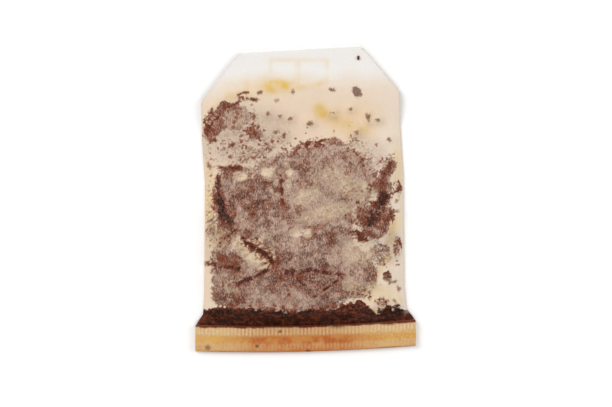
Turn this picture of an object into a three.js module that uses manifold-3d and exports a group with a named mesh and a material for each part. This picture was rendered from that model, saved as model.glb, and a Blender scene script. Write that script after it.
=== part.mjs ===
// A used tea bag of folded filter paper, lying on its back, with the wet leaf still inside it.
//
// Millimetres, +Z up. +X is the bag's right and +Y runs to its folded top. The origin is under the middle of the
// bag, on the surface that it lies on. One sheet of paper makes the whole bag: it is wrapped into a tube with a
// folded seam down the back, the bottom is rolled into a crimped hem, the two top corners are folded behind, and
// the end of the tube is folded down over them. That end is only folded, so the tube's mouth is open there.

import * as THREE from "three";
import { mergeVertices } from "three/addons/utils/BufferGeometryUtils.js";
import Module from "manifold-3d";

const wasm = await Module();
wasm.setup();
const { smoothstep, lerp, clamp, degToRad } = THREE.MathUtils;

// ---------------------------------------------------------------- driving dimensions

const PAPER = 0.12; // wet filter paper
const FLAT_TUBE = 0.34; // two sheets with the slit between them, where nothing fills the tube
const PRESSED_TUBE = 0.3; // two sheets and what the crimp leaves between them
const PUFF = 5.0; // what the wet leaf adds to the thickness where the bag is fullest

const HEM_Y = -25.0; // where the bag meets its hem
const HEM_HEIGHT = 5.0;
const HEM_HALF_WIDTH = 22.1;
const TOP_Y = 29.4; // where the tube starts round its top fold
const FLAP_LENGTH = 8.3;
const LAYER_GAP = 0.06; // between the layers of a pressed fold
const HEM_THICKNESS = 3 * PRESSED_TUBE + 2 * LAYER_GAP;
const TOP_FOLD_RADIUS = 0.25; // leaves room for the folded corners under the top flap

const RIB_PITCH = 0.74; // the crimp's ribs, across the hem
const RIB_HEIGHT = 0.12;
const RIB_ROWS = [
  { low: -27.3, high: -25.5 },
  { low: -29.7, high: -28.7 },
];

const SEAM_X = -0.3; // middle of the lengthwise seam on the back
const SEAM_HALF_WIDTH = 2.2;
const SEAM_THICKNESS = 0.34;
const SEAM_ENDS = [-22.0, 20.4];

const HEM_TILT = 0.025; // rise to the right, in mm for each mm
const HEM_SAG = 0.65; // the hem bows down in the middle
const TOP_TILT = 0.056;

const CLEARANCE = 0.16; // between the leaf and the paper round it

// Half the width to the left and to the right of x = 0, at heights up the tube.
const SIDES = [
  { y: HEM_Y, left: HEM_HALF_WIDTH, right: HEM_HALF_WIDTH },
  { y: -23.9, left: 21.5, right: 21.4 },
  { y: -22.6, left: 20.6, right: 20.4 },
  { y: -18, left: 20.35, right: 19.9 },
  { y: 4, left: 20.2, right: 19.7 },
  { y: 13, left: 20.8, right: 19.1 },
  { y: 20.5, left: 20.9, right: 18.9 },
  { y: TOP_Y + 0.5, left: 13.2, right: 11.2 },
  { y: TOP_Y + 0.5 + FLAP_LENGTH, left: 7.2, right: 5.8 },
];

// ---------------------------------------------------------------- the bag's form

/** Straight-line value of one field of a list of keys, at height y. */
function between(keys, field, y) {
  const next = clamp(keys.findIndex((key) => key.y >= y), 1, keys.length - 1);
  const [a, b] = [keys[next - 1], keys[next]];
  return lerp(a[field], b[field], clamp((y - a.y) / (b.y - a.y), 0, 1));
}

/** How far a crosswise line is out of level at x: bowed at the hem, and rising to the right at the top. */
function skew(x, y) {
  const up = smoothstep(y, HEM_Y, TOP_Y);
  const hem = HEM_TILT * x - HEM_SAG * (1 - (x / HEM_HALF_WIDTH) ** 2);
  return lerp(hem, TOP_TILT * x, up);
}

/** Outside thickness of the bag at x, y: flat at its edges, and full over the leaf. */
function thickness(x, y) {
  const half = Math.min(between(SIDES, x < 0 ? "left" : "right", y), 20.3);
  const across = 1 - Math.min(Math.abs(x) / half, 1) ** 6;
  const aboveHem = smoothstep(y, HEM_Y, HEM_Y + 4);
  const belowTop = 0.5 + 0.5 * Math.cos(Math.PI * clamp((y + 8) / 41, 0, 1));
  const intoTopFold = 1 - smoothstep(y, 22, TOP_Y);
  return FLAT_TUBE + PUFF * across * aboveHem * belowTop * intoTopFold;
}

const FOLDS_HEIGHT = FLAT_TUBE + 2 * TOP_FOLD_RADIUS; // what the folded top holds under the back sheet

/** Height of the back sheet's outside: on the table, and lifted over the seam and over the folded top. */
function lift(x, y) {
  const overTop = FOLDS_HEIGHT * smoothstep(y, 13, 19.3);
  const nearSeam = 1 - smoothstep(Math.abs(x - SEAM_X), 2.75, 4.6);
  const overSeam = (SEAM_THICKNESS + LAYER_GAP) * nearSeam * smoothstep(y, HEM_Y + 0.4, HEM_Y + 2.6);
  return Math.max(overTop, overSeam);
}

/** Room inside the bag at x, y: the heights of its floor and of its ceiling. */
function room(x, y) {
  const step = 0.2;
  const slope = Math.hypot(
    (thickness(x + step, y) - thickness(x - step, y)) / (2 * step),
    (thickness(x, y + step) - thickness(x, y - step)) / (2 * step),
  );
  const floor = lift(x, y) + PAPER;
  const ceiling = lift(x, y) + thickness(x, y) - PAPER * Math.hypot(1, slope);
  return { floor, ceiling: Math.max(ceiling, floor + FLAT_TUBE - 2 * PAPER) };
}

/** What is free for leaf at x, y: the tightest room within `reach` of it, less a clearance on both sides. */
function leafRoom(x, y, reach) {
  const level = y - skew(x, y);
  const near = [
    [0, 0],
    [reach, 0],
    [-reach, 0],
    [0, reach],
    [0, -reach],
  ].map(([dx, dy]) => room(x + dx, level + dy));
  const floor = Math.max(...near.map((r) => r.floor)) + CLEARANCE;
  const ceiling = Math.min(...near.map((r) => r.ceiling)) - CLEARANCE;
  return { floor, ceiling: Math.max(ceiling, floor + 0.08) };
}

// ---------------------------------------------------------------- solids

/** A closed geometry as a manifold-3d solid. */
function solidOf(geometry) {
  const bare = new THREE.BufferGeometry();
  bare.setAttribute("position", geometry.getAttribute("position"));
  bare.setIndex(geometry.index);
  const merged = mergeVertices(bare, 1e-4);
  return new wasm.Manifold(
    new wasm.Mesh({
      numProp: 3,
      vertProperties: merged.attributes.position.array,
      triVerts: new Uint32Array(merged.index.array),
    }),
  );
}

/** A manifold-3d solid as a geometry. */
function geometryOf(solid) {
  const mesh = solid.getMesh();
  const geometry = new THREE.BufferGeometry();
  geometry.setAttribute("position", new THREE.BufferAttribute(new Float32Array(mesh.vertProperties), 3));
  geometry.setIndex(new THREE.BufferAttribute(new Uint32Array(mesh.triVerts), 1));
  geometry.computeVertexNormals();
  return geometry;
}

/** A geometry from points and from faces that are triangles or quads. */
function geometryFrom(points, faces) {
  const triangles = faces.flatMap(([a, b, c, d]) => (d === undefined ? [a, b, c] : [a, b, c, a, c, d]));
  const geometry = new THREE.BufferGeometry().setFromPoints(points);
  geometry.setIndex(triangles);
  geometry.computeVertexNormals();
  return geometry;
}

/**
 * Skins a chain of rings and closes both of its ends. Each ring runs along the front sheet from left to right and
 * home along the back sheet, so an end closes by joining each front point to the back point behind it.
 */
function closedChain(rings) {
  const size = rings[0].length;
  const last = (rings.length - 1) * size;
  const faces = [];
  for (let r = 0; r + 1 < rings.length; r++) {
    for (let i = 0; i < size; i++) {
      const [a, b] = [r * size + i, r * size + ((i + 1) % size)];
      faces.push([a, b, b + size, a + size]);
    }
  }
  for (let i = 0; i + 1 < size / 2; i++) {
    const [front, back] = [i, size - 1 - i];
    faces.push([front, back, back - 1, front + 1]);
    faces.push([last + front, last + front + 1, last + back - 1, last + back]);
  }
  return geometryFrom(rings.flat(), faces);
}

// ---------------------------------------------------------------- the paper

const ACROSS = 8; // steps from the seam to each side

/** Places across the tube between two limits, closer together towards the sides. */
function placesAcross(left, right) {
  return Array.from({ length: 2 * ACROSS + 1 }, (_, i) => {
    const u = i / ACROSS - 1;
    const eased = 0.5 * u + 0.5 * Math.sin((u * Math.PI) / 2);
    return SEAM_X + eased * (u < 0 ? SEAM_X - left : right - SEAM_X);
  });
}

/**
 * Follows the tube round its folds, seen from the side. `angle` is which way the front sheet faces: 0 is up and
 * half a turn is down. The point that it carries lies on the outside of the back sheet.
 */
class FoldPath {
  constructor(y, z, angle, height) {
    this.at = { y, z, angle, height };
    this.stops = [this.at];
  }

  /** Goes straight on. `up` is the height up the unfolded tube that the stretch ends at. */
  straight(length, steps, up) {
    const { y, z, angle, height } = this.at;
    for (let i = 1; i <= steps; i++) {
      const d = (length * i) / steps;
      const to = up === undefined ? height : lerp(height, up, i / steps);
      this.at = { y: y - d * Math.cos(angle), z: z + d * Math.sin(angle), angle, height: to };
      this.stops.push(this.at);
    }
    return this;
  }

  /** Turns to another angle. A positive radius has the front sheet inside the fold. */
  turn(radius, toAngle, steps) {
    const { y, z, angle, height } = this.at;
    const axis = { y: y + radius * Math.sin(angle), z: z + radius * Math.cos(angle) };
    for (let i = 1; i <= steps; i++) {
      const a = lerp(angle, toAngle, i / steps);
      this.at = { y: axis.y - radius * Math.sin(a), z: axis.z - radius * Math.cos(a), angle: a, height };
      this.stops.push(this.at);
    }
    return this;
  }
}

/** A ring of the tube at a stop of a fold path, where the tube is flat. `inset` moves it inside the paper. */
function flatRing(stop, tube, inset) {
  const left = inset - between(SIDES, "left", stop.height);
  const right = between(SIDES, "right", stop.height) - inset;
  const place = (x, h) =>
    new THREE.Vector3(x, stop.y + h * Math.sin(stop.angle) + skew(x, stop.height), stop.z + h * Math.cos(stop.angle));
  const xs = placesAcross(left, right);
  return [...xs.map((x) => place(x, tube - inset)), ...xs.reverse().map((x) => place(x, inset))];
}

/** A ring round the filled part of the bag at height y, on the outside or the inside of its paper. */
function bodyRing(y, inside) {
  const inset = inside ? PAPER : 0;
  const xs = placesAcross(inset - between(SIDES, "left", y), between(SIDES, "right", y) - inset);
  const place = (x, z) => new THREE.Vector3(x, y + skew(x, y), z);
  const front = (x) => (inside ? room(x, y).ceiling : lift(x, y) + thickness(x, y));
  const back = (x) => (inside ? room(x, y).floor : lift(x, y));
  return [...xs.map((x) => place(x, front(x))), ...xs.reverse().map((x) => place(x, back(x)))];
}

/** The tube: from its open mouth, round the top fold, down the filled body, and through the rolled hem. */
function paperTube() {
  const top = new FoldPath(TOP_Y - FLAP_LENGTH, FLAT_TUBE, Math.PI, TOP_Y + 0.5 + FLAP_LENGTH)
    .straight(FLAP_LENGTH, 3, TOP_Y + 0.5)
    .turn(-TOP_FOLD_RADIUS, 0, 6).stops;

  const body = [];
  for (let y = 27.5; y > 20; y -= 2.4) body.push(y);
  for (let y = 20; y > -19; y -= 3) body.push(y);
  body.push(-20.5, -21.7, -22.6, -23.3, -24, -24.5);

  const hem = new FoldPath(HEM_Y, 0, 0, HEM_Y)
    .straight(HEM_HEIGHT - 0.5, 2)
    .turn(HEM_THICKNESS / 2, Math.PI, 6)
    .straight(HEM_HEIGHT - 0.6, 2)
    .turn(PRESSED_TUBE + LAYER_GAP / 2, 2 * Math.PI, 5)
    .straight(HEM_HEIGHT - 0.9, 2).stops;

  const outside = [
    ...hem.reverse().map((stop) => flatRing(stop, PRESSED_TUBE, 0)),
    ...body.toReversed().map((y) => bodyRing(y, false)),
    ...top.toReversed().map((stop) => flatRing(stop, FLAT_TUBE, 0)),
  ];
  const inside = [
    ...top.map((stop) => flatRing(stop, FLAT_TUBE, PAPER)),
    ...body.slice(0, -1).map((y) => bodyRing(y, true)),
  ];
  return solidOf(closedChain([...outside, ...inside]));
}

/** A flat plate from its outline in X and Y, between two heights. */
function plate(outline, low, high) {
  const shape = new THREE.Shape(outline.map(([x, y]) => new THREE.Vector2(x, y)));
  const geometry = new THREE.ExtrudeGeometry(shape, { depth: high - low, bevelEnabled: false });
  geometry.translate(0, 0, low);
  return solidOf(geometry);
}

/** A top corner, folded behind the bag along its slanted edge. `side` is -1 for the left one and 1 for the right. */
function foldedCorner(side) {
  const reach = (y) => side * between(SIDES, side < 0 ? "left" : "right", y);
  const at = (x, y) => [x, y + skew(x, y)];
  const [low, high] = [20.6, TOP_Y];
  const inner = SEAM_X + side * 3.1;
  const bottom = FLAT_TUBE + 0.08;
  const corner = plate(
    [at(reach(low), low), at(reach(high), high), at(inner + side * 1.2, high), at(inner, low + 3.2)],
    bottom,
    bottom + PRESSED_TUBE,
  );
  const creaseWidth = side * 0.3;
  const crease = plate(
    [
      at(reach(low), low),
      at(reach(high), high),
      at(reach(high) - creaseWidth, high),
      at(reach(low) - creaseWidth, low),
    ],
    bottom,
    FOLDS_HEIGHT + FLAT_TUBE / 2,
  );
  return corner.add(crease);
}

/** One row of the crimp: ridges standing on the hem's front, which is at height `top`. */
function crimpedRow({ low, high }, top) {
  const count = 2 * Math.floor(HEM_HALF_WIDTH / RIB_PITCH) - 1;
  const columns = [];
  for (let i = -count; i <= count; i++) {
    const x = (i * RIB_PITCH) / 2;
    const crest = top + (i % 2 === 0 ? RIB_HEIGHT : -0.03);
    const at = (y, z) => new THREE.Vector3(x, y + skew(x, HEM_Y), z);
    columns.push([at(low, top - 0.06), at(low, crest), at(high, crest), at(high, top - 0.06)]);
  }
  const last = 4 * (columns.length - 1);
  const faces = [
    [0, 1, 2, 3],
    [last + 3, last + 2, last + 1, last],
  ];
  for (let c = 0; c < last; c += 4) {
    for (let i = 0; i < 4; i++) {
      const next = (i + 1) % 4;
      faces.push([c + i, c + 4 + i, c + 4 + next, c + next]);
    }
  }
  return solidOf(geometryFrom(columns.flat(), faces));
}

/** The lengthwise seam: the sheet's two edges folded together, lying flat under the back and joined along one side. */
function backSeam() {
  const [low, high] = SEAM_ENDS;
  const [left, right] = [SEAM_X - SEAM_HALF_WIDTH, SEAM_X + SEAM_HALF_WIDTH];
  const strip = (a, b) => [
    [a, low],
    [b, low],
    [b, high],
    [a, high],
  ];
  const fold = plate(strip(left, left + 0.35), 0, SEAM_THICKNESS + LAYER_GAP + PAPER / 2);
  return plate(strip(left, right), 0, SEAM_THICKNESS).add(fold);
}

function paperBag() {
  const folds = [foldedCorner(-1), foldedCorner(1), backSeam()];
  const crimp = RIB_ROWS.map((row) => crimpedRow(row, HEM_THICKNESS));
  return geometryOf([...folds, ...crimp].reduce((bag, part) => bag.add(part), paperTube()));
}

// ---------------------------------------------------------------- the wet leaf

/** Distance from a centre to a smooth closed outline, in any direction. The centre sees the whole outline. */
function reachOf(outline, centre) {
  const curve = new THREE.CatmullRomCurve3(
    outline.map(([x, y]) => new THREE.Vector3(x, y, 0)),
    true,
    "centripetal",
  );
  const spokes = curve
    .getPoints(12 * outline.length)
    .map((p) => ({
      y: Math.atan2(p.y - centre[1], p.x - centre[0]),
      reach: Math.hypot(p.x - centre[0], p.y - centre[1]),
    }))
    .sort((a, b) => a.y - b.y);
  const [first, last] = [spokes[0], spokes[spokes.length - 1]];
  const turn = 2 * Math.PI;
  const keys = [{ ...last, y: last.y - turn }, ...spokes, { ...first, y: first.y + turn }];
  return (angle) => between(keys, "reach", angle);
}

/** Depth of the hollows at x, y, as a share of the room. A hollow is a soft oval dip in the leaf's upper side. */
function hollowAt(hollows, x, y) {
  let depth = 0;
  for (const { x: cx, y: cy, long, wide, turn = 0, deep } of hollows) {
    const [dx, dy] = [x - cx, y - cy];
    const [c, s] = [Math.cos(degToRad(turn)), Math.sin(degToRad(turn))];
    const r = Math.hypot((dx * c + dy * s) / long, (dy * c - dx * s) / wide);
    depth = Math.max(depth, deep * (1 - smoothstep(r, 0.55, 1.15)));
  }
  return depth;
}

/** A small even unevenness, the same each time, for the leaf's surface. */
function unevenness(x, y) {
  return 0.5 * Math.sin(1.9 * x + 0.7 * y) * Math.sin(1.3 * y - 0.9 * x + 1) + 0.5 * Math.sin(0.8 * x + 2.3 * y);
}

/**
 * A clump of wet leaf, filling the bag between its floor and its ceiling, or `fill` of that. Its grid is a square
 * bent to a disc and stretched to the outline, and its upper and lower sides meet at the rim.
 */
function leafClump({ outline, centre, cells, fill = 1, hollows = [] }) {
  const middle = centre ?? [
    outline.reduce((sum, p) => sum + p[0], 0) / outline.length,
    outline.reduce((sum, p) => sum + p[1], 0) / outline.length,
  ];
  const reach = reachOf(outline, middle);
  const [points, upper, lower] = [[], [], []];
  for (let j = 0; j <= cells; j++) {
    for (let i = 0; i <= cells; i++) {
      const [u, v] = [(2 * i) / cells - 1, (2 * j) / cells - 1];
      const [dx, dy] = [u * Math.sqrt(1 - (v * v) / 2), v * Math.sqrt(1 - (u * u) / 2)];
      const share = Math.hypot(dx, dy);
      const r = share * reach(Math.atan2(dy, dx));
      const angle = Math.atan2(dy, dx);
      const [x, y] = [middle[0] + r * Math.cos(angle), middle[1] + r * Math.sin(angle)];
      const { floor: low, ceiling } = leafRoom(x, y, 0.7);
      const depth = ceiling - low;
      const dome = Math.sqrt(Math.max(1 - share ** 6, 0));
      const level = fill * (1 - hollowAt(hollows, x, y)) - 0.025 * (1 + unevenness(x, y));
      const rim = low + 0.3 * depth * fill;
      points.push(new THREE.Vector3(x, y, lerp(rim, low + depth * level, dome)));
      upper.push(points.length - 1);
      const onRim = i === 0 || j === 0 || i === cells || j === cells;
      if (!onRim) points.push(new THREE.Vector3(x, y, lerp(rim, low, Math.min(dome * 1.1, 1))));
      lower.push(points.length - 1);
    }
  }
  const faces = [];
  const row = cells + 1;
  for (let j = 0; j < cells; j++) {
    for (let i = 0; i < cells; i++) {
      const k = j * row + i;
      faces.push([upper[k], upper[k + 1], upper[k + row + 1], upper[k + row]]);
      faces.push([lower[k], lower[k + row], lower[k + row + 1], lower[k + 1]]);
    }
  }
  return geometryFrom(points, faces);
}

/** A loose scrap of leaf held against the front sheet: a small uneven pebble, thinner than it is wide. */
function looseScrap({ x, y, long, wide, turn = 0 }, seed) {
  const geometry = mergeVertices(new THREE.IcosahedronGeometry(0.5, 1).deleteAttribute("normal").deleteAttribute("uv"));
  const places = geometry.getAttribute("position");
  const point = new THREE.Vector3();
  for (let i = 0; i < places.count; i++) {
    point.fromBufferAttribute(places, i);
    const bump = 1 + 0.16 * Math.sin(7 * point.x + 2.1 * seed) * Math.sin(6 * point.y + 1.7 * seed + 4 * point.z);
    places.setXYZ(i, ...point.multiplyScalar(bump));
  }
  const { floor, ceiling } = leafRoom(x, y, long / 2);
  const deep = Math.min(0.62 * wide, ceiling - floor);
  geometry.scale(long, wide, deep).rotateZ(degToRad(turn));
  geometry.translate(x, y, ceiling - 0.52 * deep);
  geometry.computeVertexNormals();
  return geometry;
}

/** A bit of leaf stalk between two places, thin and a little bent, close under the front sheet. */
function stalk({ from, to, bend, radius }) {
  const middle = [(from[0] + to[0]) / 2, (from[1] + to[1]) / 2 + bend];
  const path = new THREE.CatmullRomCurve3(
    [from, middle, to].map(([x, y]) => {
      return new THREE.Vector3(x, y, leafRoom(x, y, 0.5).ceiling - radius);
    }),
  );
  const round = new THREE.Shape().absarc(0, 0, radius, 0, 2 * Math.PI);
  return new THREE.ExtrudeGeometry(round, { steps: 6, curveSegments: 4, extrudePath: path });
}

// Each clump's outline, going round it, in millimetres.
const CLUMPS = {
  main_leaf_mass: {
    centre: [-3, -7],
    cells: 20,
    outline: [
      [-1, 10.8],
      [3, 11.7],
      [6.3, 12.6],
      [9.2, 10.2],
      [12, 7.6],
      [12.9, 3.8],
      [10.9, 0.2],
      [9.9, -4],
      [10.6, -8.6],
      [13.2, -11.6],
      [14.8, -14.6],
      [14, -19],
      [8.6, -20.6],
      [0, -21.2],
      [-9, -20.9],
      [-16.6, -20.4],
      [-18.9, -17],
      [-18.9, -11],
      [-18.1, -6],
      [-18.6, -1],
      [-18.2, 4.4],
      [-15.8, 6.6],
      [-11.4, 6.6],
      [-7.6, 8.4],
    ],
    hollows: [
      { x: -12.1, y: 4.4, long: 1.7, wide: 1.1, deep: 0.5 },
      { x: -7.4, y: 5.5, long: 2, wide: 1.1, turn: -20, deep: 0.5 },
      { x: -2.6, y: 4.9, long: 1.6, wide: 1.2, deep: 0.4 },
      { x: -0.6, y: 0.6, long: 2.6, wide: 1.3, turn: -60, deep: 0.32 },
      { x: 5.6, y: 0.4, long: 6.4, wide: 4.2, turn: -12, deep: 0.26 },
      { x: 3.2, y: -3.4, long: 4.6, wide: 2.6, turn: 20, deep: 0.34 },
      { x: -1, y: -7.3, long: 1.6, wide: 1.5, deep: 0.3 },
      { x: -8.6, y: -10.6, long: 4.4, wide: 1.8, turn: -46, deep: 0.55 },
      { x: -15.9, y: -8.6, long: 3.6, wide: 2.9, turn: 20, deep: 0.45 },
      { x: 9.6, y: -10.8, long: 4.4, wide: 2.7, turn: -30, deep: 0.45 },
      { x: -12.4, y: -14, long: 4, wide: 0.9, turn: 16, deep: 0.22 },
      { x: 2.2, y: -16.2, long: 7, wide: 0.8, turn: 34, deep: 0.16 },
    ],
  },
  bottom_leaf_bank: {
    centre: [-4, -23],
    cells: 11,
    outline: [
      [-19.4, -22.4],
      [-17, -21.7],
      [-9, -22],
      [0, -22.3],
      [6, -21.8],
      [8.4, -21.1],
      [10.8, -21],
      [11.6, -22.2],
      [11.4, -23.6],
      [4, -24.3],
      [-4, -24.5],
      [-12, -24.4],
      [-19, -24],
    ],
  },
  bottom_corner_leaf_clump: {
    cells: 6,
    outline: [
      [14.6, -22.4],
      [16.2, -22],
      [18.3, -22.2],
      [19.6, -22.4],
      [19.4, -23.4],
      [16.6, -23.8],
      [14.6, -23.6],
    ],
  },
  upper_left_leaf_clump: {
    centre: [-16.2, 15.6],
    cells: 10,
    outline: [
      [-16.4, 19.9],
      [-13.9, 18.9],
      [-11.4, 18],
      [-9.9, 16.4],
      [-11.6, 15.2],
      [-14, 13.2],
      [-16.6, 13.8],
      [-18, 11.6],
      [-19.4, 10.9],
      [-20, 12.6],
      [-20, 15.2],
      [-18.4, 17.8],
    ],
    hollows: [
      { x: -13.6, y: 15.9, long: 2, wide: 1.2, deep: 0.5 },
      { x: -15.4, y: 14.6, long: 1.2, wide: 0.8, deep: 0.4 },
    ],
  },
  upper_middle_leaf_clump: {
    cells: 6,
    outline: [
      [-11.8, 12.9],
      [-10.2, 14.3],
      [-8.7, 14],
      [-8.2, 12.5],
      [-10.2, 11.6],
      [-11.7, 11.9],
    ],
  },
  right_upper_leaf_clump: {
    centre: [15.6, 4.6],
    cells: 8,
    outline: [
      [17.3, 8.4],
      [18.5, 7.2],
      [18.1, 5.4],
      [17.1, 3.8],
      [17.5, 2],
      [16.3, 0.4],
      [13.9, 0.5],
      [12.4, 1.9],
      [13.5, 4],
      [15, 6],
      [15.8, 7.6],
    ],
  },
  right_lower_leaf_clump: {
    cells: 8,
    outline: [
      [15.3, -0.2],
      [17, -1.4],
      [17.3, -4.2],
      [16.5, -6.8],
      [14.9, -8.2],
      [12.4, -8.4],
      [10.8, -7.2],
      [11, -5],
      [11.6, -2.6],
      [13, -0.8],
    ],
  },
  right_edge_upper_leaf_clump: {
    cells: 6,
    outline: [
      [18.6, 3.9],
      [19.1, 2.9],
      [19.1, 1.4],
      [18.4, 0.8],
      [17.9, 1.8],
      [18, 3.2],
    ],
  },
  right_edge_lower_leaf_clump: {
    cells: 6,
    outline: [
      [18, -7.6],
      [19.1, -7.6],
      [19.1, -9.4],
      [19, -11.2],
      [17.6, -11.3],
      [17.5, -9.4],
    ],
  },
  lower_right_leaf_clump: {
    cells: 6,
    outline: [
      [14.3, -20.2],
      [15.6, -19.4],
      [16.9, -20.2],
      [17, -21.4],
      [15.4, -21.8],
      [14.4, -21.4],
    ],
  },
};

// Loose scraps: where each lies, how long and wide it is, and how many degrees it is turned.
const SCRAPS = [
  { x: 10.3, y: 21.4, long: 2.5, wide: 1.6, turn: -62 },
  { x: 5.4, y: 21.9, long: 1.2, wide: 0.75, turn: -25 },
  { x: -2.5, y: 21.5, long: 0.95, wide: 0.75, turn: 60 },
  { x: -9.1, y: 21.4, long: 1, wide: 0.75, turn: 20 },
  { x: -5.7, y: 19.7, long: 0.85, wide: 0.7, turn: 70 },
  { x: 9, y: 18, long: 0.85, wide: 0.65, turn: -60 },
  { x: 5.5, y: 17.3, long: 1, wide: 0.6, turn: 5 },
  { x: -5, y: 16.7, long: 1.3, wide: 0.65, turn: 0 },
  { x: -7.4, y: 17, long: 0.8, wide: 0.7, turn: 40 },
  { x: -3, y: 16.2, long: 0.8, wide: 0.65, turn: 50 },
  { x: 12.6, y: 16.3, long: 1.5, wide: 0.65, turn: 100 },
  { x: 14.5, y: 15.9, long: 0.85, wide: 0.65, turn: 30 },
  { x: 1, y: 15.1, long: 1.5, wide: 0.85, turn: 20 },
  { x: -6, y: 13.3, long: 0.95, wide: 0.65, turn: 35 },
  { x: 10.3, y: 13.3, long: 0.9, wide: 0.75, turn: 10 },
  { x: 16.7, y: 11.9, long: 0.85, wide: 0.75, turn: 0 },
  { x: -4.4, y: 12.5, long: 0.85, wide: 0.6, turn: 80 },
  { x: -14.5, y: 10.9, long: 1.1, wide: 0.75, turn: 30 },
  { x: -16.4, y: 10, long: 0.9, wide: 0.55, turn: 15 },
  { x: -10.9, y: 10.4, long: 0.8, wide: 0.6, turn: -30 },
  { x: -12.8, y: 8.4, long: 0.8, wide: 0.55, turn: 0 },
  { x: -8.8, y: 10.2, long: 0.85, wide: 0.6, turn: 15 },
  { x: -19.4, y: 6.8, long: 1.2, wide: 0.5, turn: 110 },
  { x: 18.2, y: -0.4, long: 0.9, wide: 0.75, turn: 70 },
  { x: 18.3, y: -2.5, long: 0.8, wide: 0.7, turn: 0 },
  { x: -19.2, y: -5.3, long: 0.95, wide: 0.6, turn: 15 },
  { x: 16.3, y: -15.8, long: 1.8, wide: 1.2, turn: 20 },
  { x: 17.9, y: -16.6, long: 0.85, wide: 0.6, turn: 15 },
  { x: 18.8, y: -18, long: 1.2, wide: 0.5, turn: 110 },
  { x: 17.9, y: -20.4, long: 0.7, wide: 0.6, turn: 0 },
];

const STALKS = {
  leaf_stalk_upper: { from: [-13.5, 20.8], to: [-11.3, 21.5], bend: 0.1, radius: 0.17 },
  leaf_stalk_lower: { from: [-13.2, 20.2], to: [-9.6, 19.8], bend: -0.15, radius: 0.2 },
};

/** A crumb that stuck to the outside of the paper, just under the top fold. */
function outsideCrumb() {
  const [x, y] = [10.6, 28.3];
  const level = y - skew(x, y);
  const geometry = mergeVertices(new THREE.IcosahedronGeometry(0.5, 1).deleteAttribute("normal").deleteAttribute("uv"));
  const height = 0.34;
  geometry.scale(0.95, 0.55, height).rotateZ(degToRad(80));
  geometry.translate(x, y, lift(x, level) + thickness(x, level) + height / 2 + 0.03);
  geometry.computeVertexNormals();
  return geometry;
}

// ---------------------------------------------------------------- the object

const paperMaterial = new THREE.MeshStandardMaterial({
  color: new THREE.Color(0.87, 0.78, 0.64),
  roughness: 0.6,
  metalness: 0,
  transparent: true,
  opacity: 0.75,
});
const leafMaterial = new THREE.MeshStandardMaterial({
  color: new THREE.Color(0.22, 0.1, 0.06),
  roughness: 0.5,
  metalness: 0,
});
const stalkMaterial = new THREE.MeshStandardMaterial({
  color: new THREE.Color(0.36, 0.2, 0.09),
  roughness: 0.55,
  metalness: 0,
});

function named(name, geometry, material) {
  const mesh = new THREE.Mesh(geometry, material);
  mesh.name = name;
  return mesh;
}

const teaBag = new THREE.Group();
teaBag.name = "used_tea_bag";

const leaf = new THREE.Group();
for (const [name, clump] of Object.entries(CLUMPS)) leaf.add(named(name, leafClump(clump), leafMaterial));
SCRAPS.forEach((scrap, i) => {
  const name = `loose_leaf_scrap_${String(i + 1).padStart(2, "0")}`;
  leaf.add(named(name, looseScrap(scrap, i), leafMaterial));
});
for (const [name, bit] of Object.entries(STALKS)) leaf.add(named(name, stalk(bit), stalkMaterial));

teaBag.add(named("filter_paper_bag", paperBag(), paperMaterial), leaf);
teaBag.add(named("leaf_crumb_on_paper", outsideCrumb(), leafMaterial));

export default teaBag;
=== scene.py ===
"""A used tea bag of folded filter paper, lying flat, wet, stained and full of brewed leaf.

The leaf is made first, round the frame's clumps and scraps. The paper is then laid over it, so that it
clings where the leaf holds it up and hangs clear where the leaf is hollow. Lengths are in millimetres until
a mesh is made.
"""

import logging
import math
from collections.abc import Mapping, Sequence
from dataclasses import dataclass, field
from enum import Enum

import bmesh
import bpy
import numpy as np
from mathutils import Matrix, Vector
from mathutils.bvhtree import BVHTree


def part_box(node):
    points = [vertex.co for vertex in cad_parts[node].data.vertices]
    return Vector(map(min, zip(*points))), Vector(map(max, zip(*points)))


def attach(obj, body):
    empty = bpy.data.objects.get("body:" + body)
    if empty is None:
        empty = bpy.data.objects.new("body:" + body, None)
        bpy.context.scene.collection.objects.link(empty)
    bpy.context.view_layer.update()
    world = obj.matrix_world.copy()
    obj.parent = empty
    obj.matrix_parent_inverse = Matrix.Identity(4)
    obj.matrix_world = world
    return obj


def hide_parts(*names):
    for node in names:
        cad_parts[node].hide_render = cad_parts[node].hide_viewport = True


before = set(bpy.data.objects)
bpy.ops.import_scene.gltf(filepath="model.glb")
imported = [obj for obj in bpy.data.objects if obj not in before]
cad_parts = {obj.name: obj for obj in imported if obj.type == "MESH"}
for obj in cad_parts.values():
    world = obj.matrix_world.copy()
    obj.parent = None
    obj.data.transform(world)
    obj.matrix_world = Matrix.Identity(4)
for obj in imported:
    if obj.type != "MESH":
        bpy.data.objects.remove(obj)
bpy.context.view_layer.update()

LOG = logging.getLogger("tea_bag")
MM = 0.001
BODY = "root"
Socket = bpy.types.NodeSocket


# -------------------------------------------------------------------------------- small helpers


def smoothstep(value: np.ndarray, low: float | np.ndarray, high: float | np.ndarray) -> np.ndarray:
    """Rises smoothly from 0 at low to 1 at high."""
    t = np.clip((value - low) / (high - low), 0.0, 1.0)
    return t * t * (3.0 - 2.0 * t)


def fading(value: np.ndarray, low: float | np.ndarray, high: float | np.ndarray) -> np.ndarray:
    """Falls smoothly from 1 at low to 0 at high."""
    return 1.0 - smoothstep(value, low, high)


def linear(red: float, green: float, blue: float) -> tuple[float, float, float, float]:
    """Turns a display colour, 0 to 255 a channel, into the linear colour that shaders use."""

    def channel(value: float) -> float:
        share = value / 255.0
        return share / 12.92 if share <= 0.04045 else ((share + 0.055) / 1.055) ** 2.4

    return channel(red), channel(green), channel(blue), 1.0


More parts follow.
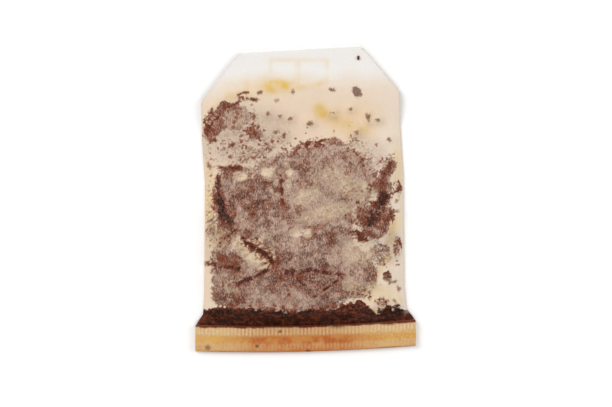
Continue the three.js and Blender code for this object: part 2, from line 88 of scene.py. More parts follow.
def new_mesh(name: str, points: np.ndarray, faces: Sequence[Sequence[int]]) -> bpy.types.Mesh:
    """Makes a smooth-shaded mesh.

    Args:
        name: What the mesh is called.
        points: Vertices in millimetres, one a row.
        faces: Corner indices of each face, going round it seen from outside.

    Returns:
        The mesh, in metres.
    """
    mesh = bpy.data.meshes.new(name)
    mesh.from_pydata((np.asarray(points) * MM).tolist(), [], [list(face) for face in faces])
    mesh.polygons.foreach_set("use_smooth", np.ones(len(mesh.polygons), bool))
    mesh.update()
    return mesh


def add_object(name: str, mesh: bpy.types.Mesh) -> bpy.types.Object:
    """Links a new object for a mesh at the origin."""
    made = bpy.data.objects.new(name, mesh)
    bpy.context.scene.collection.objects.link(made)
    return made


def points_of(mesh: bpy.types.Mesh) -> np.ndarray:
    """Vertices of a mesh, in millimetres."""
    flat = np.zeros(len(mesh.vertices) * 3, np.float32)
    mesh.vertices.foreach_get("co", flat)
    return flat.reshape(-1, 3).astype(float) / MM


def set_points(mesh: bpy.types.Mesh, points: np.ndarray) -> None:
    """Moves the vertices of a mesh to places in millimetres."""
    mesh.vertices.foreach_set("co", (points * MM).astype(np.float32).ravel())
    mesh.update()


def set_mask(mesh: bpy.types.Mesh, name: str, values: np.ndarray) -> None:
    """Stores one number a vertex under a name that materials and node trees read."""
    attribute = mesh.attributes.new(name, "FLOAT", "POINT")
    attribute.data.foreach_set("value", np.asarray(values, np.float32))


def set_layout(mesh: bpy.types.Mesh, u: np.ndarray, v: np.ndarray) -> None:
    """Stores the flat layout that looks are baked on, one place for each corner of a face."""
    layer = mesh.uv_layers.new(name="OFBake")
    layer.data.foreach_set("uv", np.column_stack([u, v]).astype(np.float32).ravel())


def merged_copy(node: str) -> bpy.types.Mesh:
    """Copies a CAD node's mesh and joins its loose triangles."""
    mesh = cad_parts[node].data.copy()
    work = bmesh.new()
    work.from_mesh(mesh)
    bmesh.ops.remove_doubles(work, verts=work.verts, dist=1e-7)
    work.to_mesh(mesh)
    work.free()
    mesh.materials.clear()
    return mesh


class Graph:
    """A node tree while it is being wired."""

    def __init__(self, tree: bpy.types.NodeTree) -> None:
        """Starts on a tree."""
        self.tree = tree

    @classmethod
    def group(cls, name: str, kind: str, inputs: Mapping[str, str], outputs: Mapping[str, str]) -> "Graph":
        """Starts a node group.

        Args:
            name: Its name.
            kind: Its type name.
            inputs: Its inputs by name, each with the kind of value it holds.
            outputs: Its outputs, in the same way.

        Returns:
            The group's graph, empty but for its sockets.
        """
        tree = bpy.data.node_groups.new(name, kind)
        for way, sockets in (("INPUT", inputs), ("OUTPUT", outputs)):
            for label, value in sockets.items():
                tree.interface.new_socket(name=label, in_out=way, socket_type="NodeSocket" + value)
        return cls(tree)

    def feed(self, node: bpy.types.Node, inputs: Mapping) -> None:
        """Gives a node's inputs, by name or number, their values or the sockets that feed them."""
        for key, value in inputs.items():
            if isinstance(value, Socket):
                self.tree.links.new(value, node.inputs[key])
            else:
                node.inputs[key].default_value = value

    def add(self, kind: str, inputs: Mapping | None = None, **settings: object) -> bpy.types.Node:
        """Adds a node.

        Args:
            kind: The node's type name.
            inputs: For each input's name or number, a value, or the socket that feeds it.
            settings: Properties of the node itself.

        Returns:
            The new node.
        """
        node = self.tree.nodes.new(kind)
        for name, value in settings.items():
            setattr(node, name, value)
        self.feed(node, inputs or {})
        return node

    def math(self, operation: str, first: object, second: object = 0.0, clamp: bool = False) -> Socket:
        """Combines two numbers."""
        node = self.add("ShaderNodeMath", {0: first, 1: second}, operation=operation, use_clamp=clamp)
        return node.outputs[0]

    def plus(self, first: object, second: object, clamp: bool = False) -> Socket:
        """Adds two numbers."""
        return self.math("ADD", first, second, clamp)

    def minus(self, first: object, second: object) -> Socket:
        """Takes one number from another."""
        return self.math("SUBTRACT", first, second)

    def times(self, first: object, second: object, clamp: bool = False) -> Socket:
        """Multiplies two numbers."""
        return self.math("MULTIPLY", first, second, clamp)

    def most(self, first: object, *others: object) -> Socket:
        """The largest of some numbers."""
        for other in others:
            first = self.math("MAXIMUM", first, other)
        return first

    def vector(self, operation: str, inputs: Mapping) -> Socket:
        """Works on vectors."""
        return self.add("ShaderNodeVectorMath", inputs, operation=operation).outputs[0]

    def mix(self, share: object, first: object, second: object) -> Socket:
        """Goes from one colour to another as share goes from 0 to 1."""
        inputs = {0: share, 6: first, 7: second}
        return self.add("ShaderNodeMix", inputs, data_type="RGBA", clamp_factor=True).outputs[2]

    def lerp(self, share: object, first: object, second: object) -> Socket:
        """Goes from one number to another as share goes from 0 to 1."""
        inputs = {0: share, 2: first, 3: second}
        return self.add("ShaderNodeMix", inputs, data_type="FLOAT", clamp_factor=True).outputs[0]

    def ease(self, value: object, low: float, high: float) -> Socket:
        """Rises smoothly from 0 to 1 as value goes from low to high."""
        inputs = {"Value": value, "From Min": low, "From Max": high}
        return self.add("ShaderNodeMapRange", inputs, interpolation_type="SMOOTHSTEP").outputs[0]

    def place(self) -> Socket:
        """Where a point of a material is, in metres on its object."""
        return self.add("ShaderNodeTexCoord").outputs["Object"]

    def noise(self, place: object, scale: object, detail: float) -> Socket:
        """Cloudy noise from 0 to 1 at a place; scale is in lumps to the metre."""
        return self.add("ShaderNodeTexNoise", {"Vector": place, "Scale": scale, "Detail": detail}).outputs[0]

    def bump(self, height: object, strength: float) -> Socket:
        """Surface direction over fine relief, given as heights from 0 to 1."""
        inputs = {"Height": height, "Strength": strength, "Distance": 0.08 * MM}
        return self.add("ShaderNodeBump", inputs).outputs[0]

    def attribute(self, name: str) -> Socket:
        """Reads a stored number in a material."""
        return self.add("ShaderNodeAttribute", attribute_name=name).outputs["Fac"]

    def stored(self, name: str) -> Socket:
        """Reads a stored number in a geometry tree."""
        return self.add("GeometryNodeInputNamedAttribute", {"Name": name}, data_type="FLOAT").outputs[0]

    def store_tone(self, geometry: object, tone: object, domain: str) -> Socket:
        """Stores how light leaf is, from 0 to 1, on a geometry's points or instances."""
        inputs = {"Geometry": geometry, "Name": "tone", "Value": tone}
        kind = "GeometryNodeStoreNamedAttribute"
        return self.add(kind, inputs, data_type="FLOAT", domain=domain).outputs[0]

    def close(self, geometry: object, material: object) -> bpy.types.NodeTree:
        """Ends a geometry tree: makes its instances real, smooth and of one material."""
        real = self.add("GeometryNodeRealizeInstances", {0: geometry}).outputs[0]
        smooth = self.add("GeometryNodeSetShadeSmooth", {0: real}).outputs[0]
        done = self.add("GeometryNodeSetMaterial", {"Geometry": smooth, "Material": material}).outputs[0]
        self.add("NodeGroupOutput", {0: done})
        return self.tree


# -------------------------------------------------------------------------------- the bag's form


@dataclass(frozen=True)
class SidePoint:
    """How far the bag reaches to the left and to the right of its middle, at one height up the tube."""

    y: float
    left: float
    right: float


@dataclass(frozen=True)
class BagForm:
    """The bag's outside form, the same as the frame's: outline, tilt of its folds, thickness and lift."""

    paper: float = 0.12
    flat_tube: float = 0.34
    pressed_tube: float = 0.3
    puff: float = 5.0
    layer_gap: float = 0.06
    top_fold_radius: float = 0.25
    hem_y: float = -25.0
    hem_height: float = 5.0
    hem_half_width: float = 22.1
    hem_tilt: float = 0.025
    hem_sag: float = 0.65
    top_y: float = 29.4
    top_tilt: float = 0.056
    flap_length: float = 8.3
    slack: float = 1.9
    seam_x: float = -0.3
    seam_half_width: float = 2.2
    seam_thickness: float = 0.34
    side_points: tuple[SidePoint, ...] = (
        SidePoint(-25.0, 22.1, 22.1),
        SidePoint(-23.9, 21.5, 21.4),
        SidePoint(-22.6, 20.6, 20.4),
        SidePoint(-18.0, 20.35, 19.9),
        SidePoint(4.0, 20.2, 19.7),
        SidePoint(13.0, 20.8, 19.1),
        SidePoint(20.5, 20.9, 18.9),
        SidePoint(29.9, 13.2, 11.2),
        SidePoint(38.2, 7.2, 5.8),
    )

    @property
    def hem_thickness(self) -> float:
        """Thickness of the rolled hem: three pressed layers of the tube."""
        return 3.0 * self.pressed_tube + 2.0 * self.layer_gap

    @property
    def folds_height(self) -> float:
        """What the folded top holds under the back sheet."""
        return self.flat_tube + 2.0 * self.top_fold_radius

    def side(self, sign: int, y: np.ndarray | float) -> np.ndarray:
        """Half width at height y, on the left for sign -1 and on the right for 1."""
        reach = [p.left if sign < 0 else p.right for p in self.side_points]
        return np.interp(y, [p.y for p in self.side_points], reach)

    def skew(self, x: np.ndarray, y: np.ndarray | float) -> np.ndarray:
        """How far a crosswise line is out of level at x."""
        up = smoothstep(np.asarray(y, float), self.hem_y, self.top_y)
        hem = self.hem_tilt * x - self.hem_sag * (1.0 - (x / self.hem_half_width) ** 2)
        return hem + (self.top_tilt * x - hem) * up

    def thickness(self, x: np.ndarray, y: np.ndarray | float) -> np.ndarray:
        """Outside thickness of the bag: flat at its edges and full over the leaf."""
        y = np.asarray(y, float)
        half = np.minimum(np.where(x < 0, self.side(-1, y), self.side(1, y)), 20.3)
        across = 1.0 - np.minimum(np.abs(x) / half, 1.0) ** 6
        above_hem = smoothstep(y, self.hem_y, self.hem_y + 4.0)
        below_top = 0.5 + 0.5 * np.cos(np.pi * np.clip((y + 8.0) / 41.0, 0.0, 1.0))
        into_fold = fading(y, 22.0, self.top_y)
        return self.flat_tube + self.puff * across * above_hem * below_top * into_fold

    def lift(self, x: np.ndarray, y: np.ndarray | float) -> np.ndarray:
        """Height of the back sheet's outside over the seam and over the folded top."""
        y = np.asarray(y, float)
        over_top = self.folds_height * smoothstep(y, 13.0, 19.3)
        near_seam = fading(np.abs(x - self.seam_x), 2.75, 4.6)
        over_seam = near_seam * smoothstep(y, self.hem_y + 0.4, self.hem_y + 2.6)
        return np.maximum(over_top, (self.seam_thickness + self.layer_gap) * over_seam)

    def level(self, x: np.ndarray, y: np.ndarray) -> np.ndarray:
        """Height up the tube of the point at x, y."""
        return y - self.skew(x, y - self.skew(x, y))

    def floor(self, x: np.ndarray, y: np.ndarray) -> np.ndarray:
        """Top of the back sheet, inside the bag."""
        return self.lift(x, self.level(x, y)) + self.paper

    def edge(self, x: np.ndarray, up: np.ndarray) -> np.ndarray:
        """Distance to the nearer side of the bag, at height up the tube."""
        return np.minimum(self.side(-1, up) + x, self.side(1, up) - x)

    def hang(self, x: np.ndarray, y: np.ndarray) -> np.ndarray:
        """Underside of the front sheet where it's slack and no leaf holds it up."""
        up = self.level(x, y)
        loose = smoothstep(self.edge(x, up), 0.2, 2.5) * smoothstep(up, -24.4, -22.8)
        loose *= fading(up, 17.0, 22.0)
        full = self.ceiling(x, y)
        wave = 0.16 * value_noise(x, y, 5.0, 21) + 0.07 * value_noise(x, y, 2.1, 22)
        wave *= np.maximum(loose, 0.25 * smoothstep(self.edge(x, up), 0.2, 2.0))
        return full - loose * np.minimum(self.slack, 0.55 * (full - self.floor(x, y))) + wave

    def ceiling(self, x: np.ndarray, y: np.ndarray) -> np.ndarray:
        """Underside of the front sheet at its fullest, inside the bag."""
        up = self.level(x, y)
        return self.lift(x, up) + self.thickness(x, up) - self.paper


# -------------------------------------------------------------------------------- marks in plan


@dataclass(frozen=True)
class Oval:
    """A soft oval mark on the bag, seen from the front."""

    x: float
    y: float
    long: float
    wide: float
    turn: float = 0.0
    strength: float = 1.0
    soft: float = 0.5

    def weight(self, x: np.ndarray, y: np.ndarray) -> np.ndarray:
        """How strong the mark is at each place: full inside, and fading over its soft edge."""
        c, s = math.cos(math.radians(self.turn)), math.sin(math.radians(self.turn))
        dx, dy = x - self.x, y - self.y
        r = np.hypot((dx * c + dy * s) / self.long, (dy * c - dx * s) / self.wide)
        return self.strength * fading(r, 1.0 - self.soft, 1.0 + self.soft)


@dataclass(frozen=True)
class Line:
    """A soft line on the bag, through a few points."""

    points: tuple[tuple[float, float], ...]
    width: float
    strength: float = 1.0

    def distance(self, x: np.ndarray, y: np.ndarray) -> tuple[np.ndarray, np.ndarray]:
        """Distance to the line, and how far along it the nearest place is, from 0 to 1."""
        nearest = np.full(np.shape(x), 1e9)
        along = np.zeros(np.shape(x))
        count = len(self.points) - 1
        for i, ((ax, ay), (bx, by)) in enumerate(zip(self.points, self.points[1:])):
            ex, ey = bx - ax, by - ay
            t = np.clip(((x - ax) * ex + (y - ay) * ey) / (ex * ex + ey * ey), 0.0, 1.0)
            d = np.hypot(x - ax - t * ex, y - ay - t * ey)
            closer = d < nearest
            nearest = np.where(closer, d, nearest)
            along = np.where(closer, (i + t) / count, along)
        return nearest, along

    def weight(self, x: np.ndarray, y: np.ndarray) -> np.ndarray:
        """How strong the line is at each place: it fades across its width and towards its ends."""
        d, along = self.distance(x, y)
        ends = smoothstep(along, -0.08, 0.18) * fading(along, 0.82, 1.08)
        return self.strength * np.exp(-((d / self.width) ** 2)) * ends


def strongest(marks: Sequence[Oval | Line], x: np.ndarray, y: np.ndarray) -> np.ndarray:
    """The strongest of several marks at each place."""
    return np.max([mark.weight(x, y) for mark in marks], axis=0)


def value_noise(x: np.ndarray, y: np.ndarray, size: float, seed: int) -> np.ndarray:
    """Smooth fixed noise in plan, from -1 to 1, with lumps of about the given size."""
    rng = np.random.default_rng(seed)
    table = rng.uniform(-1.0, 1.0, (64, 64))
    u, v = x / size + 500.0, y / size + 500.0
    i, j = np.floor(u).astype(int), np.floor(v).astype(int)
    fu, fv = smoothstep(u - i, 0.0, 1.0), smoothstep(v - j, 0.0, 1.0)

    def corner(di: int, dj: int) -> np.ndarray:
        return table[(i + di) % 64, (j + dj) % 64]

    low = corner(0, 0) * (1 - fu) + corner(1, 0) * fu
    high = corner(0, 1) * (1 - fu) + corner(1, 1) * fu
    return low * (1 - fv) + high * fv


# -------------------------------------------------------------------------------- finishes


@dataclass(frozen=True)
class LeafFinish:
    """Colours of brewed leaf, from the darkest bits to the palest, and how wet it is."""

    darkest: tuple = linear(48, 18, 9)
    dark: tuple = linear(92, 38, 21)
    brown: tuple = linear(138, 68, 42)
    red: tuple = linear(178, 86, 50)
    pale: tuple = linear(200, 140, 96)
    roughness: float = 0.42
    wet_coat: float = 0.05


@dataclass(frozen=True)
class PaperFinish:
    """Colours of the filter paper: dry, stained, damp, clinging to leaf, soaked, and pressed in the hem, with
    painted glints on its fibres, painted shade along its creases and at the hem's ends, and painted
    highlights on the hem's rib crests.
    """

    white: tuple = linear(232, 231, 229)
    cream: tuple = linear(238, 222, 204)
    blush: tuple = linear(236, 210, 182)
    yellow: tuple = linear(226, 186, 94)
    grey: tuple = linear(200, 178, 160)
    patch: tuple = linear(236, 214, 178)
    veil_mauve: tuple = linear(208, 174, 152)
    veil_brown: tuple = linear(158, 88, 54)
    veil_dark: tuple = linear(80, 34, 18)
    tight_red: tuple = linear(138, 68, 40)
    tight_dark: tuple = linear(50, 19, 9)
    # Pale fibres with painted glints of wet fibres, warm white and cool grey.
    fibre_and_glint: tuple = linear(228, 206, 190)
    grey_fibre_and_glint: tuple = linear(194, 186, 184)
    # Soaked brown; at the hem's ends it is also painted shade.
    soaked: tuple = linear(40, 10, 2)
    soaked_red: tuple = linear(126, 60, 34)
    # Painted shade along the creases: dark in the fold and softer at its edges.
    crease_shade: tuple = linear(76, 28, 12)
    crease_shade_edge: tuple = linear(140, 70, 38)
    fleck: tuple = linear(128, 66, 44)
    scrap: tuple = linear(96, 66, 56)
    scrap_rim: tuple = linear(158, 106, 76)
    # Painted highlight on the upper ribs' crests.
    hem_crest_highlight: tuple = linear(232, 206, 164)
    hem_gap: tuple = linear(208, 176, 124)
    hem_gap_middle: tuple = linear(182, 122, 60)
    hem_strip: tuple = linear(210, 164, 88)
    hem_strip_middle: tuple = linear(176, 92, 30)
    hem_low: tuple = linear(208, 168, 112)
    hem_low_middle: tuple = linear(184, 112, 52)
    # Painted highlight on the lower ribs' crests.
    hem_low_crest_highlight: tuple = linear(222, 188, 144)
    hem_edge: tuple = linear(172, 108, 58)
    hem_rim: tuple = linear(104, 40, 14)
    opaque: float = 0.9


class Finish(Enum):
    """The record's material slots."""

    PAPER = "filter_paper"
    LEAF = "wet_leaf"
    STALK = "leaf_stalk"


class PaperLook:
    """Wires the filter paper's looks from the marks that are stored on its mesh by name."""

    def __init__(self, g: Graph, finish: PaperFinish, noises: Sequence[bpy.types.Node]) -> None:
        """Wires what the looks share.

        Args:
            g: The material's graph.
            finish: The paper's colours.
            noises: The web of fibres, and then two nodes of mottling, coarse and finer.
        """
        web, mottle, spots = noises
        self.g, self.finish = g, finish
        self.fibres, self.cloud = web.outputs["Fibres"], web.outputs["Cloud"]
        shade, self.grit = mottle.outputs["Shade"], mottle.outputs["Grit"]
        blotch, self.sparkle = spots.outputs["Shade"], spots.outputs["Grit"]
        ragged = g.minus(g.plus(g.times(self.grit, 0.5), g.times(shade, 0.22)), 0.36)
        self.lumpy = g.plus(ragged, g.times(g.minus(blotch, 0.5), 0.55))

        self.pale = self._torn("pale", 1.0, 0.25, 0.7)
        bare = g.lerp(self.pale, 1.0, g.lerp(blotch, 0.1, 0.45))
        near = g.plus(g.attribute("near"), g.times(ragged, 0.6))
        self.near = g.times(g.ease(near, 0.24, 0.6), bare)
        self.cling = g.times(g.ease(g.plus(g.attribute("cling"), ragged), 0.3, 0.8), bare)
        self.tight = self._torn("tight", 0.7, 0.3, 0.75)
        self.scrap = self._torn("scrap", 0.7, 0.1, 0.75)
        soaked = self._torn("soak", 0.6, 0.2, 0.5, 0.02, 0.25)
        # Soaked places; at the hem's ends the dark is partly soaked leaf and partly painted shade.
        self.soak = g.lerp(g.attribute("wing_soak_and_shade"), soaked, g.attribute("soak"))
        # Painted shade along the creases: a wide soft edge and a darker core.
        self.crease_shade_edge = self._torn("crease_shade", 0.75, 0.1, 0.55, 0.03, 0.25)
        self.crease_shade = self._torn("crease_shade", 0.75, 0.3, 0.85, 0.2, 0.6)
        self.fleck = self._flecks()

        tone = g.times(g.attribute("depth"), 0.5)
        self.shade = g.plus(g.lerp(shade, 0.15, 0.85), tone, clamp=True)
        self.blotch = g.plus(g.times(blotch, 0.75), tone, clamp=True)

    def _torn(
        self, name: str, noise: float, low: float, high: float, least: float = 0.02, full: float = 0.2
    ) -> Socket:
        """A stored mark with a torn edge, which noise alone can't raise where there is no mark.

        Args:
            name: The mark's name.
            noise: How much noise is added to the mark.
            low: The sum at which its edge starts.
            high: The sum at which it is full.
            least: How much of the mark itself has to be there for any to show.
            full: How much of the mark itself lets all of it show.

        Returns:
            The mark, 0 to 1.
        """
        g, mark = self.g, self.g.attribute(name)
        torn = g.ease(g.plus(mark, g.times(self.lumpy, noise)), low, high)
        return g.times(torn, g.ease(mark, least, full))

    def _flecks(self) -> Socket:
        """Single specks of leaf, one to a cell and ragged by noise, where the fleck mark lets them grow."""
        g, mark = self.g, self.g.attribute("fleck")
        cells = g.add("ShaderNodeTexVoronoi", {"Vector": g.place(), "Scale": 0.8 / MM})
        size = g.plus(g.times(mark, 0.34), g.times(self.lumpy, 0.42))
        speck = g.ease(g.minus(size, cells.outputs["Distance"]), -0.03, 0.12)
        return g.times(speck, g.ease(mark, 0.1, 0.4))

    def colour(self) -> Socket:
        """The whole colour: dry paper, the leaf behind it, soaked places, the hem, and pale fibres with
        painted glints over all.
        """
        g, finish = self.g, self.finish
        colour = self._over_leaf(self._dry())
        red = g.plus(g.times(self.grit, self.blotch), g.times(g.attribute("wing_soak_and_shade"), 0.25), clamp=True)
        colour = g.mix(self.soak, colour, g.mix(red, finish.soaked, finish.soaked_red))
        colour = g.mix(g.attribute("hem"), colour, self._hem())
        # Painted glints: pale fibre strands laid over the colour, fewest where the sheet is tight or creased.
        strands_and_glints = g.times(g.math("POWER", self.fibres, 2.0), g.lerp(self.near, 0.15, 0.8))
        strands_and_glints = g.times(strands_and_glints, g.lerp(g.most(self.tight, self.crease_shade, self.fleck), 1.0, 0.22))
        with_fibres_and_glints = g.mix(strands_and_glints, colour, g.mix(self.sparkle, finish.fibre_and_glint, finish.grey_fibre_and_glint))
        return g.mix(self.soak, with_fibres_and_glints, colour)

    def _dry(self) -> Socket:
        """Colour of the paper itself: white at the top, creamy, stained yellow, and grey where it is damp."""
        g, finish = self.g, self.finish
        colour = g.mix(g.attribute("cream"), finish.white, finish.cream)
        blush = g.times(g.attribute("blush"), g.lerp(self.shade, 0.7, 1.0))
        colour = g.mix(blush, colour, finish.blush)
        stain = g.times(g.attribute("stain"), g.lerp(self.cloud, 0.6, 1.15), clamp=True)
        colour = g.mix(stain, colour, finish.yellow)
        damp = g.times(g.attribute("damp"), g.lerp(self.grit, 0.45, 1.0))
        colour = g.mix(damp, colour, finish.grey)
        return g.mix(g.times(self.pale, 0.7), colour, finish.patch)

    def _over_leaf(self, colour: Socket) -> Socket:
        """Adds to a colour the leaf seen through the paper, and the folds that press on it, with painted
        shade along its creases.
        """
        g, finish = self.g, self.finish
        veil = g.mix(self.shade, finish.veil_mauve, finish.veil_brown)
        veil = g.mix(g.times(self.blotch, 0.65), veil, finish.veil_dark)
        colour = g.mix(self.near, colour, veil)
        deep = g.plus(g.ease(g.attribute("tight"), 0.55, 0.95), g.times(self.lumpy, 0.8), clamp=True)
        colour = g.mix(self.tight, colour, g.mix(deep, finish.tight_red, finish.tight_dark))
        colour = g.mix(g.times(self.fleck, 0.85), colour, finish.fleck)
        core = g.plus(g.attribute("scrap"), g.times(self.lumpy, 0.9), clamp=True)
        core = g.mix(g.ease(core, 0.5, 1.0), finish.scrap_rim, finish.scrap)
        colour = g.mix(g.times(self.scrap, 0.85), colour, core)
        # Painted shade along the creases, softer at their edges.
        edge = g.times(self.crease_shade_edge, g.lerp(self.grit, 0.4, 0.8))
        colour = g.mix(edge, colour, finish.crease_shade_edge)
        return g.mix(self.crease_shade, colour, finish.crease_shade)

    def _hem(self) -> Socket:
        """Colour of the crimped hem: from below, a pale row, a bare strip, the ribs with painted highlights
        on their crests, and a dark rim.
        """
        g, finish = self.g, self.finish
        height = g.attribute("hem_height")
        middle = g.times(g.attribute("hem_middle"), g.lerp(self.cloud, 0.6, 1.2), clamp=True)
        # Painted highlights: the rib crests are painted paler than the gaps.
        crest = g.times(g.attribute("rib"), g.lerp(self.cloud, 0.3, 0.9))
        upper = g.mix(crest, g.mix(middle, finish.hem_gap, finish.hem_gap_middle), finish.hem_crest_highlight)
        lower = g.mix(middle, finish.hem_low, finish.hem_low_middle)
        lower = g.mix(g.times(crest, 0.7), lower, finish.hem_low_crest_highlight)
        strip = g.mix(middle, finish.hem_strip, finish.hem_strip_middle)

        def from_height(unevenness: float, low: float, high: float) -> Socket:
            """0 below a height of the hem and 1 above it, with an uneven edge."""
            return g.ease(g.plus(height, g.times(self.cloud, unevenness)), low, high)

        colour = g.mix(from_height(0.25, 0.1, 0.45), finish.hem_edge, lower)
        colour = g.mix(from_height(0.6, 1.7, 2.5), colour, strip)
        colour = g.mix(from_height(0.6, 3.1, 3.9), colour, upper)
        colour = g.mix(g.times(g.times(self.grit, self.cloud), 0.4), colour, finish.hem_strip_middle)
        # The hem's leaf specks take the dark colour of the painted crease shade.
        colour = g.mix(g.attribute("speck"), colour, finish.crease_shade)
        return g.mix(from_height(0.3, 4.8, 5.2), colour, finish.hem_rim)

    def cover(self) -> Socket:
        """How opaque the sheet is: most where slack, less where it clings to leaf, and clear inside."""
        g = self.g
        thin = g.times(g.lerp(self.fibres, 0.2, 0.75), g.lerp(self.shade, 1.15, 0.75))
        cloudy = g.times(g.lerp(self.fibres, 0.55, 0.85), g.lerp(self.blotch, 1.1, 0.85))
        cover = g.lerp(self.near, g.lerp(g.attribute("damp"), self.finish.opaque, 0.78), cloudy)
        cover = g.lerp(self.cling, cover, thin)
        cover = g.lerp(self.tight, cover, g.lerp(self.fibres, 0.75, 0.95))
        cover = g.lerp(g.most(self.crease_shade_edge, self.fleck, self.scrap), cover, 0.92)
        cover = g.lerp(self.soak, cover, g.lerp(self.grit, 0.9, 1.0))
        cover = g.lerp(g.attribute("solid"), cover, 1.0)
        return g.lerp(g.attribute("inner"), cover, 0.0)

    def roughness(self) -> Socket:
        """Roughness, which falls where the sheet is wet."""
        return self.g.lerp(self.cling, self.g.lerp(self.soak, 0.62, 0.4), 0.42)

    def relief(self) -> Socket:
        """Surface direction over the fibres and grit."""
        g = self.g
        return g.bump(g.plus(g.times(self.fibres, 0.7), g.times(self.grit, 0.5)), 0.5)


class Materials:
    """Every material of the bag, and the node groups that they share."""

    def __init__(self) -> None:
        """Builds them all."""
        self.mottle = self._mottle_group()
        self.fibres = self._fibre_group()
        self.leaf = self._leaf("wet_brewed_leaf", LeafFinish())
        stalk = LeafFinish(
            darkest=linear(62, 38, 24),
            dark=linear(96, 60, 38),
            brown=linear(128, 84, 54),
            red=linear(150, 104, 66),
            pale=linear(186, 144, 98),
        )
        self.stalk = self._leaf("wet_leaf_stalk", stalk)
        self.paper = self._paper("wet_filter_paper", PaperFinish())
        self.table = self._table("pale_table")

    @staticmethod
    def _mottle_group() -> bpy.types.NodeTree:
        """Makes the group that gives coarse and fine uneven shade on anything wet."""
        outputs = {"Shade": "Float", "Grit": "Float"}
        g = Graph.group("wet_mottle", "ShaderNodeTree", {"Lump Size": "Float"}, outputs)
        place, given = g.place(), g.add("NodeGroupInput")
        scale = g.math("DIVIDE", 1.0 / MM, given.outputs["Lump Size"])
        coarse, fine = g.noise(place, scale, 3.0), g.noise(place, g.times(scale, 5.0), 2.0)
        g.add("NodeGroupOutput", {"Shade": g.ease(coarse, 0.38, 0.62), "Grit": g.ease(fine, 0.3, 0.7)})
        return g.tree

    @staticmethod
    def _fibre_group() -> bpy.types.NodeTree:
        """Makes the group for the paper's web of fibres, which mostly run along the bag."""
        outputs = {"Fibres": "Float", "Cloud": "Float"}
        g = Graph.group("fibre_web", "ShaderNodeTree", {"Fibre Width": "Float"}, outputs)
        place, given = g.place(), g.add("NodeGroupInput")
        scale = g.math("DIVIDE", 1.0 / MM, given.outputs["Fibre Width"])
        layers = []
        for turn, across, along in ((0.0, 0.8, 0.2), (0.5, 0.7, 0.22), (-0.6, 0.7, 0.26), (1.5, 0.55, 0.5)):
            inputs = {"Vector": place, "Rotation": (0.0, 0.0, turn), "Scale": (across, along, 0.1)}
            layers.append(g.noise(g.add("ShaderNodeMapping", inputs).outputs[0], scale, 1.0))
        both = g.plus(g.most(*layers[:2]), g.most(*layers[2:]))
        fibres, cloud = g.ease(g.times(both, 0.5), 0.44, 0.74), g.noise(place, 0.45 / MM, 3.0)
        g.add("NodeGroupOutput", {"Fibres": fibres, "Cloud": g.ease(cloud, 0.32, 0.68)})
        return g.tree

    @staticmethod
    def _start(name: str) -> tuple[bpy.types.Material, Graph, bpy.types.Node]:
        """Starts a material, and hands it back with its graph and its main shader."""
        made = bpy.data.materials.new(name)
        made.use_nodes = True
        return made, Graph(made.node_tree), made.node_tree.nodes["Principled BSDF"]

    def _leaf(self, name: str, finish: LeafFinish) -> bpy.types.Material:
        """Makes brewed leaf: each bit has its own shade, stored on it as its tone."""
        made, g, shader = self._start(name)
        grit = g.add("ShaderNodeGroup", {"Lump Size": 0.9}, node_tree=self.mottle).outputs["Grit"]
        tone = g.plus(g.attribute("tone"), g.times(grit, 0.16), clamp=True)
        colour = g.mix(g.ease(tone, 0.0, 0.35), finish.darkest, finish.dark)
        colour = g.mix(g.ease(tone, 0.3, 0.6), colour, finish.brown)
        colour = g.mix(g.ease(tone, 0.55, 0.85), colour, finish.red)
        colour = g.mix(g.ease(tone, 0.85, 1.0), colour, finish.pale)
        inputs = {"Base Color": colour, "Roughness": finish.roughness, "Normal": g.bump(grit, 0.35)}
        inputs |= {"Specular IOR Level": 0.2, "Coat Weight": finish.wet_coat, "Coat Roughness": 0.25}
        g.feed(shader, inputs)
        return made

    def _paper(self, name: str, finish: PaperFinish) -> bpy.types.Material:
        """Makes the filter paper."""
        made, g, shader = self._start(name)
        noises = [g.add("ShaderNodeGroup", {"Fibre Width": 0.13}, node_tree=self.fibres)]
        for lump in (2.4, 1.15):
            noises.append(g.add("ShaderNodeGroup", {"Lump Size": lump}, node_tree=self.mottle))
        look = PaperLook(g, finish, noises)
        inputs = {"Base Color": look.colour(), "Alpha": look.cover(), "Roughness": look.roughness()}
        g.feed(shader, inputs | {"Normal": look.relief(), "Specular IOR Level": 0.15})
        return made

    def _table(self, name: str) -> bpy.types.Material:
        """Makes the plain pale table top."""
        made, g, shader = self._start(name)
        colour = g.mix(g.noise(g.place(), 30.0, 2.0), linear(250, 250, 250), linear(253, 253, 253))
        g.feed(shader, {"Base Color": colour, "Roughness": 0.9})
        return made


# -------------------------------------------------------------------------------- leaf trees


